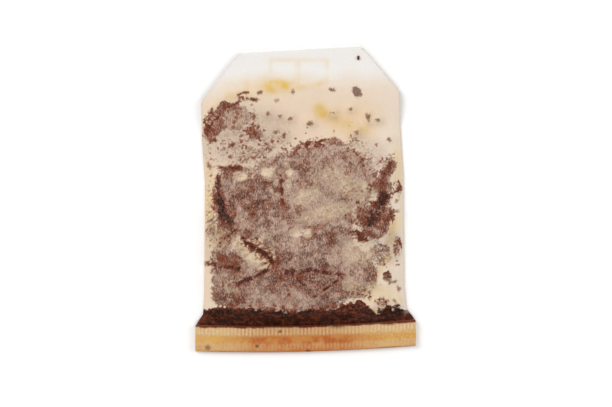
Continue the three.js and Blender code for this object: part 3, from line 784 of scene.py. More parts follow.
class LeafTrees:
    """Geometry node trees that make ragged leaf out of plain clumps and scraps."""

    GRAIN_SHAPES = 4

    def __init__(self) -> None:
        """Builds the trees."""
        self.scatter = self._scatter_tree()
        self.ragged = self._ragged_tree()

    @staticmethod
    def _shaken(
        g: Graph, geometry: object, amount: object, noise: Mapping[str, object], seed: float = 0.0
    ) -> Socket:
        """Moves the vertices of a geometry by smooth noise.

        Args:
            g: The tree's graph.
            geometry: What is moved.
            amount: How far it is moved at most, both ways together.
            noise: The noise's own inputs.
            seed: How far along the noise it is read, so that no two geometries match.

        Returns:
            The moved geometry.
        """
        place = g.add("GeometryNodeInputPosition").outputs[0]
        shifted = g.vector("ADD", {0: place, 1: (seed, 0.0, 0.0)})
        bumps = g.add("ShaderNodeTexNoise", {"Vector": shifted, **noise}).outputs[1]
        centred = g.vector("SUBTRACT", {0: bumps, 1: (0.5, 0.5, 0.5)})
        offset = g.vector("SCALE", {0: centred, "Scale": amount})
        return g.add("GeometryNodeSetPosition", {"Geometry": geometry, "Offset": offset}).outputs[0]

    def _grain_shapes(self, g: Graph) -> Socket:
        """A few uneven grain shapes, each one unit long, as instances to pick from."""
        shapes = g.add("GeometryNodeGeometryToInstance")
        for shape in range(self.GRAIN_SHAPES):
            ball = g.add("GeometryNodeMeshIcoSphere", {"Radius": 0.5, "Subdivisions": 1}).outputs[0]
            bit = self._shaken(g, ball, 0.95, {"Scale": 1.0 / 0.42, "Detail": 2.0}, 7.3 * shape)
            g.feed(shapes, {0: bit})
        return shapes.outputs[0]

    def _scatter_tree(self) -> bpy.types.NodeTree:
        """Makes the tree that roughens a clump and covers it with leaf grains."""
        floats = ("Grains", "Length", "Width", "Depth", "Ragged", "Keep Core", "Tone", "Tone Spread")
        inputs = {"Geometry": "Geometry", "Seed": "Int", "Material": "Material"}
        inputs |= dict.fromkeys(floats, "Float")
        g = Graph.group("leaf_grains", "GeometryNodeTree", inputs, {"Geometry": "Geometry"})
        given = g.add("NodeGroupInput").outputs

        def draw(low: object, high: object, salt: float) -> Socket:
            """A random number for each point, worked out from the tree's seed."""
            inputs = {2: low, 3: high, "Seed": g.plus(given["Seed"], salt)}
            return g.add("FunctionNodeRandomValue", inputs, data_type="FLOAT").outputs[1]

        core = given["Geometry"]
        for lump, share, seed in ((2.2 * MM, 1.0, 0.3), (0.8 * MM, 0.5, 1.7)):
            noise = {"Scale": 1.0 / lump, "Detail": 2.0}
            core = self._shaken(g, core, g.times(given["Ragged"], share), noise, seed)

        density = g.times(g.stored("grain_density"), given["Grains"])
        inputs = {"Mesh": core, "Density": density, "Seed": given["Seed"]}
        spread = g.add("GeometryNodeDistributePointsOnFaces", inputs, distribute_method="RANDOM").outputs
        long = g.times(g.math("POWER", draw(0.45, 1.0, 11.0), 1.6), given["Length"])
        wide = g.times(draw(0.55, 1.0, 12.0), given["Width"])
        deep = g.times(draw(0.5, 1.0, 13.0), given["Depth"])
        size = g.add("ShaderNodeCombineXYZ", {0: long, 1: wide, 2: deep}).outputs[0]
        spin, lean, pitch = draw(0.0, 2.0 * math.pi, 14.0), draw(-0.5, 0.5, 15.0), draw(-0.5, 0.5, 16.0)
        euler = g.add("ShaderNodeCombineXYZ", {0: lean, 1: pitch, 2: spin}).outputs[0]
        turn = g.add("FunctionNodeEulerToRotation", {0: euler}).outputs[0]
        inputs = {0: spread["Rotation"], 1: turn}
        rotation = g.add("FunctionNodeRotateRotation", inputs, rotation_space="LOCAL").outputs[0]
        inputs = {"Points": spread["Points"], "Instance": self._grain_shapes(g), "Pick Instance": True}
        inputs |= {"Rotation": rotation, "Scale": size}
        grains = g.add("GeometryNodeInstanceOnPoints", inputs).outputs[0]
        low, high = g.minus(given["Tone"], given["Tone Spread"]), g.plus(given["Tone"], given["Tone Spread"])
        grains = g.store_tone(grains, draw(low, high, 17.0), "INSTANCE")

        core = g.store_tone(core, g.times(given["Tone"], 0.6), "POINT")
        drop = g.math("LESS_THAN", given["Keep Core"], 0.5)
        inputs = {"Geometry": core, "Selection": drop}
        core = g.add("GeometryNodeDeleteGeometry", inputs, domain="POINT").outputs[0]
        joined = g.add("GeometryNodeJoinGeometry")
        for part in (core, grains):
            g.feed(joined, {0: part})
        return g.close(joined.outputs[0], given["Material"])

    def _ragged_tree(self) -> bpy.types.NodeTree:
        """Makes the tree that turns a plain scrap or stalk into an uneven one."""
        inputs = {"Geometry": "Geometry", "Levels": "Int", "Material": "Material"}
        inputs |= {"Ragged": "Float", "Lump": "Float", "Tone": "Float"}
        g = Graph.group("ragged_scrap", "GeometryNodeTree", inputs, {"Geometry": "Geometry"})
        given = g.add("NodeGroupInput").outputs
        fine = g.add("GeometryNodeSubdivideMesh", {0: given["Geometry"], "Level": given["Levels"]}).outputs[0]
        noise = {"Scale": g.math("DIVIDE", 1.0, given["Lump"]), "Detail": 3.0, "Roughness": 0.65}
        moved = self._shaken(g, fine, given["Ragged"], noise)
        return g.close(g.store_tone(moved, given["Tone"], "POINT"), given["Material"])


def run_tree(
    name: str, mesh: bpy.types.Mesh, tree: bpy.types.NodeTree, inputs: Mapping[str, object]
) -> bpy.types.Object:
    """Runs a geometry node tree on a mesh and keeps the result as a plain mesh.

    Args:
        name: The finished piece's name.
        mesh: What the tree starts from.
        tree: The tree.
        inputs: The tree's inputs by name.

    Returns:
        The finished piece.
    """
    source = add_object(name + "_source", mesh)
    modifier = source.modifiers.new("Nodes", "NODES")
    modifier.node_group = tree
    for item in tree.interface.items_tree:
        if item.in_out == "INPUT" and item.name in inputs:
            modifier[item.identifier] = inputs[item.name]
    graph = bpy.context.evaluated_depsgraph_get()
    shaped = source.evaluated_get(graph)
    plain = bpy.data.meshes.new_from_object(shaped, preserve_all_data_layers=True, depsgraph=graph)
    source.modifiers.remove(modifier)
    bpy.data.objects.remove(source)
    plain.name = name
    return add_object(name, plain)


def top_of(pieces: Sequence[bpy.types.Object], x: np.ndarray, y: np.ndarray) -> np.ndarray:
    """Height of the topmost of some pieces over each place, or far below where there's none."""
    top = np.full(x.shape, -50.0)
    graph = bpy.context.evaluated_depsgraph_get()
    down = Vector((0.0, 0.0, -1.0))
    for piece in pieces:
        points = points_of(piece.data)
        low, high = points.min(0) - 0.2, points.max(0) + 0.2
        tree = BVHTree.FromObject(piece, graph)
        for at in zip(*np.nonzero((x > low[0]) & (x < high[0]) & (y > low[1]) & (y < high[1]))):
            hit = tree.ray_cast(Vector((x[at] * MM, y[at] * MM, 0.02)), down)[0]
            if hit is not None:
                top[at] = max(top[at], hit.z / MM)
    return top


# -------------------------------------------------------------------------------- the leaf


@dataclass(frozen=True)
class Grains:
    """How a clump's grains are made: how many to the square millimetre, their size, and their shade."""

    per_mm2: float = 2.6
    length: float = 1.35
    width: float = 0.8
    depth: float = 0.5
    ragged: float = 1.5
    tone: float = 0.36
    tone_spread: float = 0.34


@dataclass
class WetLeaf:
    """All the leaf in the bag: clumps, loose scraps, stalks and fine bits."""

    form: BagForm
    trees: LeafTrees
    materials: Materials
    usual: Grains = Grains()
    special: dict[str, Grains] = field(
        default_factory=lambda: {
            "bottom_leaf_bank": Grains(3.4, 1.2, ragged=0.8, tone=0.16, tone_spread=0.18),
            "bottom_corner_leaf_clump": Grains(4.0, 1.1, ragged=0.7, tone=0.4, tone_spread=0.2),
            "upper_left_leaf_clump": Grains(3.0, 1.2, ragged=1.8, tone=0.42, tone_spread=0.3),
            "upper_middle_leaf_clump": Grains(3.0, 1.1, ragged=1.4, tone=0.5, tone_spread=0.25),
            "lower_right_leaf_clump": Grains(4.0, 1.1, ragged=1.0, tone=0.5, tone_spread=0.2),
            "right_edge_upper_leaf_clump": Grains(4.0, 0.9, ragged=0.7, tone=0.55, tone_spread=0.2),
            "right_edge_lower_leaf_clump": Grains(4.0, 0.9, ragged=0.7, tone=0.6, tone_spread=0.2),
            "right_lower_leaf_clump": Grains(3.0, ragged=1.3, tone=0.26, tone_spread=0.24),
            "right_upper_leaf_clump": Grains(3.0, ragged=1.3, tone=0.34, tone_spread=0.28),
        }
    )
    small: Grains = Grains(0.9, 1.15, 0.75, 0.34, ragged=0.1, tone=0.7, tone_spread=0.22)
    pieces: list[bpy.types.Object] = field(default_factory=list)

    # Where fine bits lie thick under the front sheet, beside the clumps.
    fine_bits: tuple[Oval, ...] = (
        Oval(-11.5, 10.4, 8.6, 3.4, 8, 0.5, 0.35),
        Oval(-16.0, 12.0, 3.6, 3.4, 0, 0.4, 0.4),
        Oval(-14.2, 16.4, 4.0, 2.4, 25, 0.9, 0.4),
        Oval(-9.5, 13.4, 2.6, 1.9, 20, 1.6, 0.4),
        Oval(-3.0, 9.6, 4.0, 2.2, 30, 1.0, 0.4),
        Oval(5.6, 0.4, 7.4, 4.6, -12, 2.3, 0.3),
        Oval(3.4, -3.6, 5.2, 3.0, 20, 2.1, 0.3),
        Oval(11.2, 6.2, 3.2, 3.6, 30, 1.3, 0.4),
        Oval(-16.0, -8.8, 3.8, 3.2, 20, 1.4, 0.4),
        Oval(10.6, -11.2, 5.0, 3.2, -30, 1.6, 0.4),
        Oval(15.6, -10.6, 2.4, 3.2, 0, 0.5, 0.5),
        Oval(14.6, -15.8, 2.0, 2.6, 0, 0.5, 0.5),
        Oval(-18.8, -13.2, 1.2, 2.4, 0, 0.9, 0.5),
        Oval(16.6, -20.8, 1.8, 1.4, 0, 1.4, 0.5),
        Oval(13.0, -22.8, 2.4, 1.0, 0, 0.6, 0.5),
        Oval(17.2, 3.4, 1.6, 5.0, 0, 0.8, 0.5),
    )

    def build(self) -> list[bpy.types.Object]:
        """Makes every leaf piece and gives each its place in the frame."""
        nodes = sorted(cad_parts)
        for seed, node in enumerate(n for n in nodes if n.endswith(("_clump", "_mass", "_bank"))):
            self._keep(self._clump(node, seed), node)
        for seed, node in enumerate(n for n in nodes if n.startswith("loose_leaf_scrap")):
            self._keep(self._scrap(node, seed), node)
        for node in (n for n in nodes if n.startswith("leaf_stalk")):
            self._keep(self._stalk(node), node)
        self._keep(self._fine_bits())
        inside = list(self.pieces)
        self._keep(self._outside_crumb(), "leaf_crumb_on_paper")
        return inside

    def _keep(self, piece: bpy.types.Object, node: str | None = None) -> None:
        """Joins a finished piece to the frame."""
        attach(piece, BODY)
        if node:
            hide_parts(node)
        self.pieces.append(piece)
        LOG.info("%s: %d faces", piece.name, len(piece.data.polygons))

    def _press(self, piece: bpy.types.Object, proud: float) -> None:
        """Keeps a piece off the back sheet, and at most so far proud of where the front sheet is fullest."""
        points = points_of(piece.data)
        x, y = points[:, 0], points[:, 1]
        low = self.form.floor(x, y) + 0.04
        high = np.maximum(self.form.ceiling(x, y) + proud, low + 0.06)
        points[:, 2] = np.clip(points[:, 2], low, high)
        set_points(piece.data, points)

    def _clump(self, node: str, seed: int) -> bpy.types.Object:
        """Covers one clump with grains."""
        mesh = merged_copy(node)
        work = bmesh.new()
        work.from_mesh(mesh)
        cuts = 1 if len(work.faces) > 1000 else 2
        bmesh.ops.subdivide_edges(work, edges=work.edges, cuts=cuts, use_grid_fill=True)
        work.normal_update()
        up = np.array([v.normal.z for v in work.verts])
        work.to_mesh(mesh)
        work.free()
        set_mask(mesh, "grain_density", 0.12 + 0.88 * smoothstep(up, -0.5, 0.15))
        grains = self.special.get(node, self.usual)
        inputs = self._inputs(grains, 40 + seed) | {"Keep Core": 1.0, "Material": self.materials.leaf}
        piece = run_tree(node.removesuffix("_clump") + "_grains", mesh, self.trees.scatter, inputs)
        self._press(piece, 0.12)
        return piece

    @staticmethod
    def _inputs(grains: Grains, seed: int) -> dict[str, object]:
        """The grain tree's inputs, in metres."""
        return {
            "Grains": grains.per_mm2 / MM**2,
            "Length": grains.length * MM,
            "Width": grains.width * MM,
            "Depth": grains.depth * MM,
            "Ragged": grains.ragged * MM,
            "Tone": grains.tone,
            "Tone Spread": grains.tone_spread,
            "Seed": seed,
        }

    def _roughened(self, name: str, node: str, size: float, **looks: object) -> bpy.types.Object:
        """Roughens a scrap, a stalk or a crumb.

        Args:
            name: The piece's name.
            node: The CAD node that it starts from.
            size: How far its surface is moved at most, in metres.
            looks: The rest of the ragged tree's inputs, by name.

        Returns:
            The piece.
        """
        inputs = {"Levels": 2, "Ragged": size, "Material": self.materials.leaf} | looks
        return run_tree(name, merged_copy(node), self.trees.ragged, inputs)

    def _scrap(self, node: str, seed: int) -> bpy.types.Object:
        """Roughens one loose scrap, in step with its size."""
        low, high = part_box(node)
        size = (high - low).length
        tone = float(np.random.default_rng(700 + seed).uniform(0.25, 0.62))
        name = node.replace("loose_leaf_scrap", "leaf_scrap")
        piece = self._roughened(name, node, 0.42 * size, Lump=0.3 * size, Tone=tone)
        self._press(piece, 0.1)
        return piece

    def _stalk(self, node: str) -> bpy.types.Object:
        """Roughens one bit of stalk."""
        looks = {"Lump": 0.7 * MM, "Tone": 0.4, "Material": self.materials.stalk}
        piece = self._roughened(node.replace("leaf_stalk", "stalk"), node, 0.35 * MM, **looks)
        self._press(piece, 0.1)
        return piece

    def _fine_bits(self) -> bpy.types.Object:
        """Scatters the fine bits that lie under the front sheet between the clumps."""
        step = 0.8
        xs, ys = np.arange(-19.4, 19.0, step), np.arange(-23.0, 23.0, step)
        x, y = (a.ravel() for a in np.meshgrid(xs, ys))
        z = np.maximum(self.form.hang(x, y) - 0.14, top_of(self.pieces, x, y) + 0.05)
        row = len(xs)
        corners = [(i, i + 1, i + row + 1, i + row) for i in range(len(x) - row) if (i + 1) % row]
        mesh = new_mesh("fine_bits_bed", np.column_stack([x, y, z]), corners)
        thick = strongest(self.fine_bits, x, y)
        patchy = smoothstep(value_noise(x, y, 1.8, 3) + 0.6 * value_noise(x, y, 0.9, 4), -0.7, 0.6)
        set_mask(mesh, "grain_density", 0.035 * (y < 16.0) + thick * patchy)
        inputs = self._inputs(self.small, 91) | {"Keep Core": 0.0, "Material": self.materials.leaf}
        piece = run_tree("fine_leaf_bits", mesh, self.trees.scatter, inputs)
        self._press(piece, 0.05)
        return piece

    def _outside_crumb(self) -> bpy.types.Object:
        """Roughens the crumb that stuck to the outside of the paper."""
        return self._roughened("crumb_on_paper", "leaf_crumb_on_paper", 0.3 * MM, Lump=0.4 * MM, Tone=0.2)


# -------------------------------------------------------------------------------- the paper


@dataclass
class FoldStop:
    """One stop of the tube's path round its folds: a point of the back sheet, and how it faces."""

    y: float
    z: float
    angle: float
    height: float


class FoldPath:
    """Follows the tube round its folds, seen from the side. Angle 0 has the front sheet up."""

    def __init__(self, y: float, z: float, angle: float, height: float) -> None:
        """Starts at a point of the back sheet."""
        self.stops = [FoldStop(y, z, angle, height)]

    def straight(self, length: float, steps: int, up: float | None = None) -> "FoldPath":
        """Goes straight on; up is the height up the unfolded tube at the end of the stretch."""
        at = self.stops[-1]
        for i in range(1, steps + 1):
            d = length * i / steps
            height = at.height if up is None else at.height + (up - at.height) * i / steps
            y, z = at.y - d * math.cos(at.angle), at.z + d * math.sin(at.angle)
            self.stops.append(FoldStop(y, z, at.angle, height))
        return self

    def turn(self, radius: float, to_angle: float, steps: int) -> "FoldPath":
        """Turns to another angle; a positive radius has the front sheet inside the fold."""
        at = self.stops[-1]
        axis_y, axis_z = at.y + radius * math.sin(at.angle), at.z + radius * math.cos(at.angle)
        for i in range(1, steps + 1):
            a = at.angle + (to_angle - at.angle) * i / steps
            y, z = axis_y - radius * math.sin(a), axis_z - radius * math.cos(a)
            self.stops.append(FoldStop(y, z, a, at.height))
        return self


class Part(Enum):
    """Which stretch of the tube a ring belongs to."""

    HEM = 0
    BODY = 1
    TOP = 2


@dataclass
class Ring:
    """A ring round the tube: its front from left to right, then home along its back."""

    points: np.ndarray
    part: Part
    inner: bool
    first: int = 0

    @property
    def half(self) -> int:
        """How many points lie on each face."""
        return len(self.points) // 2

    @property
    def front(self) -> list[int]:
        """Indices of its points on the front, from left to right."""
        return list(range(self.first, self.first + self.half))

    @property
    def back(self) -> list[int]:
        """Indices of its points on the back, from right to left."""
        return list(range(self.first + self.half, self.first + 2 * self.half))

    @property
    def outer_body(self) -> bool:
        """Whether it goes round the outside of the filled part of the bag."""
        return self.part is Part.BODY and not self.inner


@dataclass
class FilterPaper:
    """The bag's one sheet of filter paper, with its folds, crimp, creases and stains."""

    form: BagForm
    materials: Materials
    leaf: list[bpy.types.Object]
    ribs: int = 60
    points_per_rib: int = 4
    rows: int = 176
    inner_rows: int = 3
    rib_height: float = 0.17
    settle_rounds: int = 26

    # Sharp folds and soft puckers in the front sheet: raised where strength is above 0.
    puckers: tuple[Line, ...] = (
        Line(((-14.6, 0.2), (-13.0, -1.4), (-9.4, -5.2), (-5.4, -9.6), (-2.6, -13.6)), 0.75, 0.5),
        Line(((-12.2, 1.0), (-7.6, -4.6), (-3.8, -9.0)), 0.8, -0.35),
        Line(((-20.0, -12.8), (-16.1, -13.7), (-12.3, -14.2)), 0.55, -0.5),
        Line(((-14.3, -17.3), (-11.0, -15.9), (-7.4, -14.0)), 0.55, -0.45),
        Line(((-13.4, -16.2), (-9.6, -14.4), (-6.4, -12.4)), 0.7, 0.4),
        Line(((-3.4, -13.2), (0.6, -13.0), (4.4, -14.0), (8.2, -14.8)), 0.55, -0.45),
        Line(((-2.4, -12.2), (3.0, -12.4), (8.0, -13.6)), 0.7, 0.3),
        Line(((-0.4, -20.8), (2.6, -18.4), (7.0, -15.0)), 0.6, 0.4),
        Line(((1.0, -21.0), (4.6, -18.2), (8.6, -15.6)), 0.7, -0.3),
        Line(((-3.6, -13.4), (-4.6, -17.0), (-4.0, -20.0)), 0.6, -0.25),
        Line(((9.6, -17.4), (13.4, -16.8), (17.6, -18.6)), 0.8, 0.35),
        Line(((13.6, -5.6), (16.2, -9.6), (18.9, -13.4)), 0.7, 0.3),
        Line(((-19.2, -2.0), (-18.8, -8.0), (-19.0, -12.0)), 0.6, 0.3),
        Line(((-18.9, -14.4), (-19.2, -19.0), (-19.4, -23.4)), 0.6, 0.35),
        Line(((3.6, 18.2), (7.0, 16.2), (11.0, 14.4)), 1.2, 0.25),
        Line(((-9.0, 21.8), (-2.0, 22.6), (6.0, 22.3)), 1.0, 0.2),
        Line(((12.6, 9.2), (15.4, 5.6), (16.4, 1.0)), 0.9, 0.3),
    )
    stains: tuple[Oval | Line, ...] = (
        Oval(-5.6, 22.7, 3.5, 1.4, 4, 0.95, 0.7),
        Line(((-12.0, 21.6), (-8.0, 22.6), (-1.6, 22.3), (1.4, 22.6), (4.6, 23.8)), 0.8, 0.42),
        Oval(-8.4, 22.8, 6.4, 2.0, 2, 0.4, 0.8),
        Line(((2.0, 18.8), (4.0, 17.0), (7.0, 15.6), (10.6, 14.2), (13.4, 13.0)), 1.5, 0.55),
        Oval(8.4, 15.2, 4.8, 2.2, -25, 0.4, 0.7),
        Oval(3.1, 17.5, 1.7, 1.4, -30, 0.8, 0.6),
        Oval(12.0, 16.6, 3.4, 2.6, 0, 0.22, 0.7),
        Line(((-10.4, 20.2), (-11.6, 21.6), (-15.4, 20.4), (-19.6, 16.0)), 1.2, 0.45),
        Line(((17.8, -3.0), (17.0, -9.0), (16.0, -13.4)), 0.9, 0.7),
        Line(((17.6, -8.6), (15.4, -12.6), (13.8, -16.6)), 0.6, 0.5),
        Oval(-17.0, -7.0, 3.4, 3.0, 30, 0.45, 0.6),
        Oval(12.0, -17.6, 3.6, 1.2, -10, 0.45, 0.6),
        Oval(-8.6, -10.4, 4.0, 1.4, -46, 0.25, 0.6),
        Oval(3.0, -3.4, 5.0, 2.6, 15, 0.22, 0.6),
        Oval(13.4, -22.9, 1.7, 1.2, 0, 0.5, 0.5),
        Oval(-19.2, -2.0, 1.3, 9.0, 0, 0.4, 0.6),
        Oval(18.4, 6.0, 1.2, 5.0, 0, 0.3, 0.6),
    )
    damp_marks: tuple[Oval, ...] = (
        Oval(-11.6, 12.2, 9.0, 5.8, 12, 0.75, 0.45),
        Oval(-15.0, 17.2, 4.6, 2.6, 30, 0.5, 0.5),
        Oval(6.0, 0.0, 8.0, 5.4, -10, 0.5, 0.5),
        Oval(12.6, 8.4, 4.4, 3.6, -35, 0.55, 0.5),
        Oval(-16.6, -9.6, 4.0, 4.4, 0, 0.4, 0.5),
        Oval(10.0, -11.0, 5.6, 4.4, -30, 0.5, 0.5),
        Oval(17.4, -9.4, 1.7, 3.4, 0, 0.7, 0.5),
    )
    # Where the sheet stands off the leaf and looks pale, and where it's drawn tight on it and looks dark.
    pale_marks: tuple[Oval, ...] = (
        Oval(-13.1, 4.6, 1.4, 0.9, -10, 1.0),
        Oval(-7.8, 5.3, 1.4, 0.8, -25, 1.0),
        Oval(-4.9, 5.4, 0.6, 0.6, 0, 0.7),
        Oval(-3.3, 5.3, 0.8, 0.8, 0, 0.9),
        Oval(-3.4, 2.9, 0.6, 0.9, 0, 0.8),
        Oval(-5.8, 3.4, 0.5, 0.8, 0, 0.6),
        Oval(0.4, 0.6, 3.6, 1.8, 35, 0.6),
        Oval(6.6, 3.6, 4.4, 2.4, -25, 0.72),
        Oval(4.0, -2.8, 6.0, 1.7, 15, 0.72),
        Oval(10.4, 0.4, 2.4, 1.6, -60, 0.62),
        Oval(10.2, 9.6, 2.2, 1.6, 0, 0.45),
        Oval(-2.3, -7.0, 0.8, 1.0, 20, 0.9),
        Oval(0.5, -6.9, 0.8, 0.9, 20, 0.85),
        Oval(-11.0, -10.9, 4.2, 1.6, -40, 1.15),
        Oval(-8.6, -12.9, 2.0, 1.3, -20, 1.0),
        Oval(-13.8, -9.0, 1.2, 1.0, 0, 0.7),
        Oval(-17.4, -8.4, 1.8, 2.2, 0, 0.65),
        Oval(10.6, -10.4, 3.6, 2.6, -30, 0.68),
        Oval(14.9, -19.4, 4.6, 2.4, -8, 0.9),
        Oval(-13.4, 15.4, 2.6, 1.5, 20, 0.42),
        Oval(-15.4, -17.8, 2.4, 1.6, 0, 0.4),
        Oval(9.6, -17.6, 3.2, 1.4, -30, 0.42),
        Oval(3.4, -18.6, 3.4, 0.5, 38, 0.5),
        Oval(18.6, -4.0, 0.9, 3.0, 0, 0.5),
        Oval(12.6, 1.9, 2.4, 1.1, -35, 0.75),
        Oval(2.6, 4.6, 2.4, 1.5, 0, 0.5),
        Oval(10.2, -1.6, 1.8, 2.4, 0, 0.5),
    )
    veil_marks: tuple[Oval | Line, ...] = (
        Oval(-4.6, -20.8, 12.4, 2.0, 0, 0.75, 0.3),
        Oval(-18.8, -1.0, 1.2, 9.0, 0, 0.36, 0.5),
        Oval(-18.4, -6.2, 1.9, 3.4, 0, 0.5, 0.5),
        Oval(-17.0, -18.4, 1.8, 3.2, 0, 0.7, 0.5),
        Oval(14.8, -10.8, 2.8, 2.4, 0, 0.5, 0.5),
        Oval(10.4, 9.8, 3.4, 2.4, -20, 0.42, 0.6),
        Oval(-18.9, 1.0, 1.2, 4.4, 0, 0.32, 0.5),
        Line(((12.0, 9.0), (12.6, 4.0), (11.4, -1.0), (11.4, -7.0)), 2.2, 0.7),
        Oval(-11.0, 9.8, 9.0, 3.2, 6, 0.34, 0.5),
        Oval(-13.6, 15.4, 5.0, 3.6, 15, 0.3, 0.5),
        Oval(11.0, 5.0, 4.0, 4.0, 0, 0.5, 0.5),
    )
    tight_marks: tuple[Oval | Line, ...] = (
        Line(((-13.6, 21.0), (-12.4, 21.3), (-11.2, 21.4)), 0.3, 1.0),
        Line(((-13.4, 20.5), (-11.4, 20.1), (-9.4, 19.6)), 0.34, 1.0),
        Oval(18.7, 2.2, 0.8, 1.8, 0, 0.7),
        Oval(18.4, -9.3, 0.9, 1.7, 0, 0.7),
        Oval(15.2, -20.6, 1.5, 1.1, 0, 0.6),
        Oval(16.3, -15.2, 0.9, 0.8, 0, 0.9),
        Line(((-4.6, 8.3), (-0.8, 10.6), (2.2, 11.2), (5.4, 12.0)), 1.0, 0.66),
        Line(((6.4, 10.8), (10.0, 9.4), (12.0, 7.0), (13.6, 4.6)), 0.9, 0.5),
        Line(((-18.0, 6.2), (-15.0, 6.2), (-12.2, 6.2)), 0.8, 0.8),
        Line(((-17.5, 6.0), (-17.4, 0.0), (-16.6, -5.4)), 0.9, 0.85),
        Line(((-17.4, 1.6), (-16.9, -1.8), (-15.6, -4.0), (-14.0, -5.2)), 1.7, 0.9),
        Line(((-10.8, 6.4), (-11.0, 2.0), (-10.6, -4.4)), 0.8, 0.5),
        # A wide dark band along the crease beside it: leaf drawn tight, with painted shade along the fold.
        Line(((-13.0, -7.4), (-10.0, -9.8), (-7.0, -12.2), (-4.4, -14.0)), 1.4, 0.78),
        Oval(-15.6, -12.4, 3.2, 1.6, -8, 0.6),
        Line(((-3.0, -14.6), (1.0, -14.4), (4.6, -14.5), (8.2, -14.9)), 0.6, 0.6),
        Line(((-14.2, -17.4), (-11.0, -16.0), (-7.6, -14.6)), 0.7, 0.6),
        Line(((-12.4, 20.0), (-16.4, 17.8), (-19.4, 14.4), (-20.2, 11.6)), 0.9, 0.75),
        Line(((-5.2, -15.0), (-3.8, -17.6), (-3.0, -19.6)), 1.1, 0.5),
        Line(((-4.8, 6.0), (-4.7, 2.6), (-4.3, -2.2)), 0.7, 0.8),
        Line(((-19.0, -12.6), (-15.6, -13.6), (-12.4, -14.4)), 0.9, 0.8),
        Oval(-18.8, 13.0, 1.5, 2.2, 0, 0.55),
        Oval(16.2, 6.0, 1.3, 3.0, -25, 0.7, 0.7),
        Oval(13.6, 3.2, 1.2, 1.8, -15, 0.6, 0.7),
        Line(((16.6, 3.2), (15.3, -0.6), (13.8, -3.4), (11.6, -6.8)), 2.2, 0.85),
        Oval(13.4, -3.4, 3.0, 2.0, 40, 0.8, 0.6),
        Oval(16.6, -3.2, 1.4, 2.0, 0, 0.7, 0.6),
        Line(((-19.2, -22.0), (-12.0, -20.9), (-4.0, -21.9), (3.0, -22.0), (10.0, -20.6)), 1.0, 0.5),
        Line(((8.4, -6.2), (11.2, -7.6), (13.8, -7.2)), 1.3, 0.8),
        Line(((10.2, 0.0), (10.6, -3.4), (9.8, -5.6)), 1.1, 0.55),
        Oval(-10.8, 13.8, 2.0, 1.3, 25, 0.6),
        Line(((-5.6, -15.0), (-1.0, -15.6), (5.6, -15.2)), 1.4, 0.5),
        Oval(11.8, -18.8, 1.6, 1.6, 0, 0.5, 0.6),
        Oval(-19.2, 16.2, 1.1, 2.2, -20, 0.6),
    )
    # Dark lines of painted shade along the folds.
    creases: tuple[Line, ...] = (
        Line(((-20.6, -12.7), (-18.0, -13.0), (-15.8, -13.8), (-14.0, -13.7), (-12.0, -14.4)), 0.66, 0.8),
        Line(((-14.7, -17.6), (-12.6, -16.3), (-11.0, -16.0), (-9.0, -14.8), (-6.6, -13.9)), 0.6, 0.95),
        Line(
            ((-5.0, -15.4), (-3.4, -14.3), (-1.4, -14.5), (1.4, -14.1), (4.2, -14.8), (8.6, -15.2)),
            0.66,
            0.95,
        ),
        Line(((-3.6, -14.2), (-1.8, -15.4), (-0.9, -16.6), (0.6, -17.4)), 0.55, 0.85),
        Line(((-13.2, -7.2), (-11.4, -8.9), (-9.6, -9.6), (-7.6, -11.6), (-4.4, -13.9)), 0.75, 0.85),
        Line(((-14.8, -1.8), (-12.8, -5.2), (-9.4, -8.2), (-5.4, -12.2)), 0.45, 0.55),
        Line(((0.2, -20.6), (3.0, -18.6), (6.0, -16.4), (8.4, -15.2)), 0.5, 0.62),
        Line(((-4.9, -14.8), (-5.2, -17.2), (-5.0, -19.8)), 0.42, 0.55),
        Line(((-17.8, -9.6), (-15.8, -7.4), (-13.4, -5.8)), 0.5, 0.6),
        Line(((15.0, 8.2), (13.6, 4.4), (14.4, 0.8)), 0.5, 0.45),
        Line(((-4.9, 6.0), (-4.8, 2.6), (-4.2, -2.4)), 0.5, 0.7),
    )
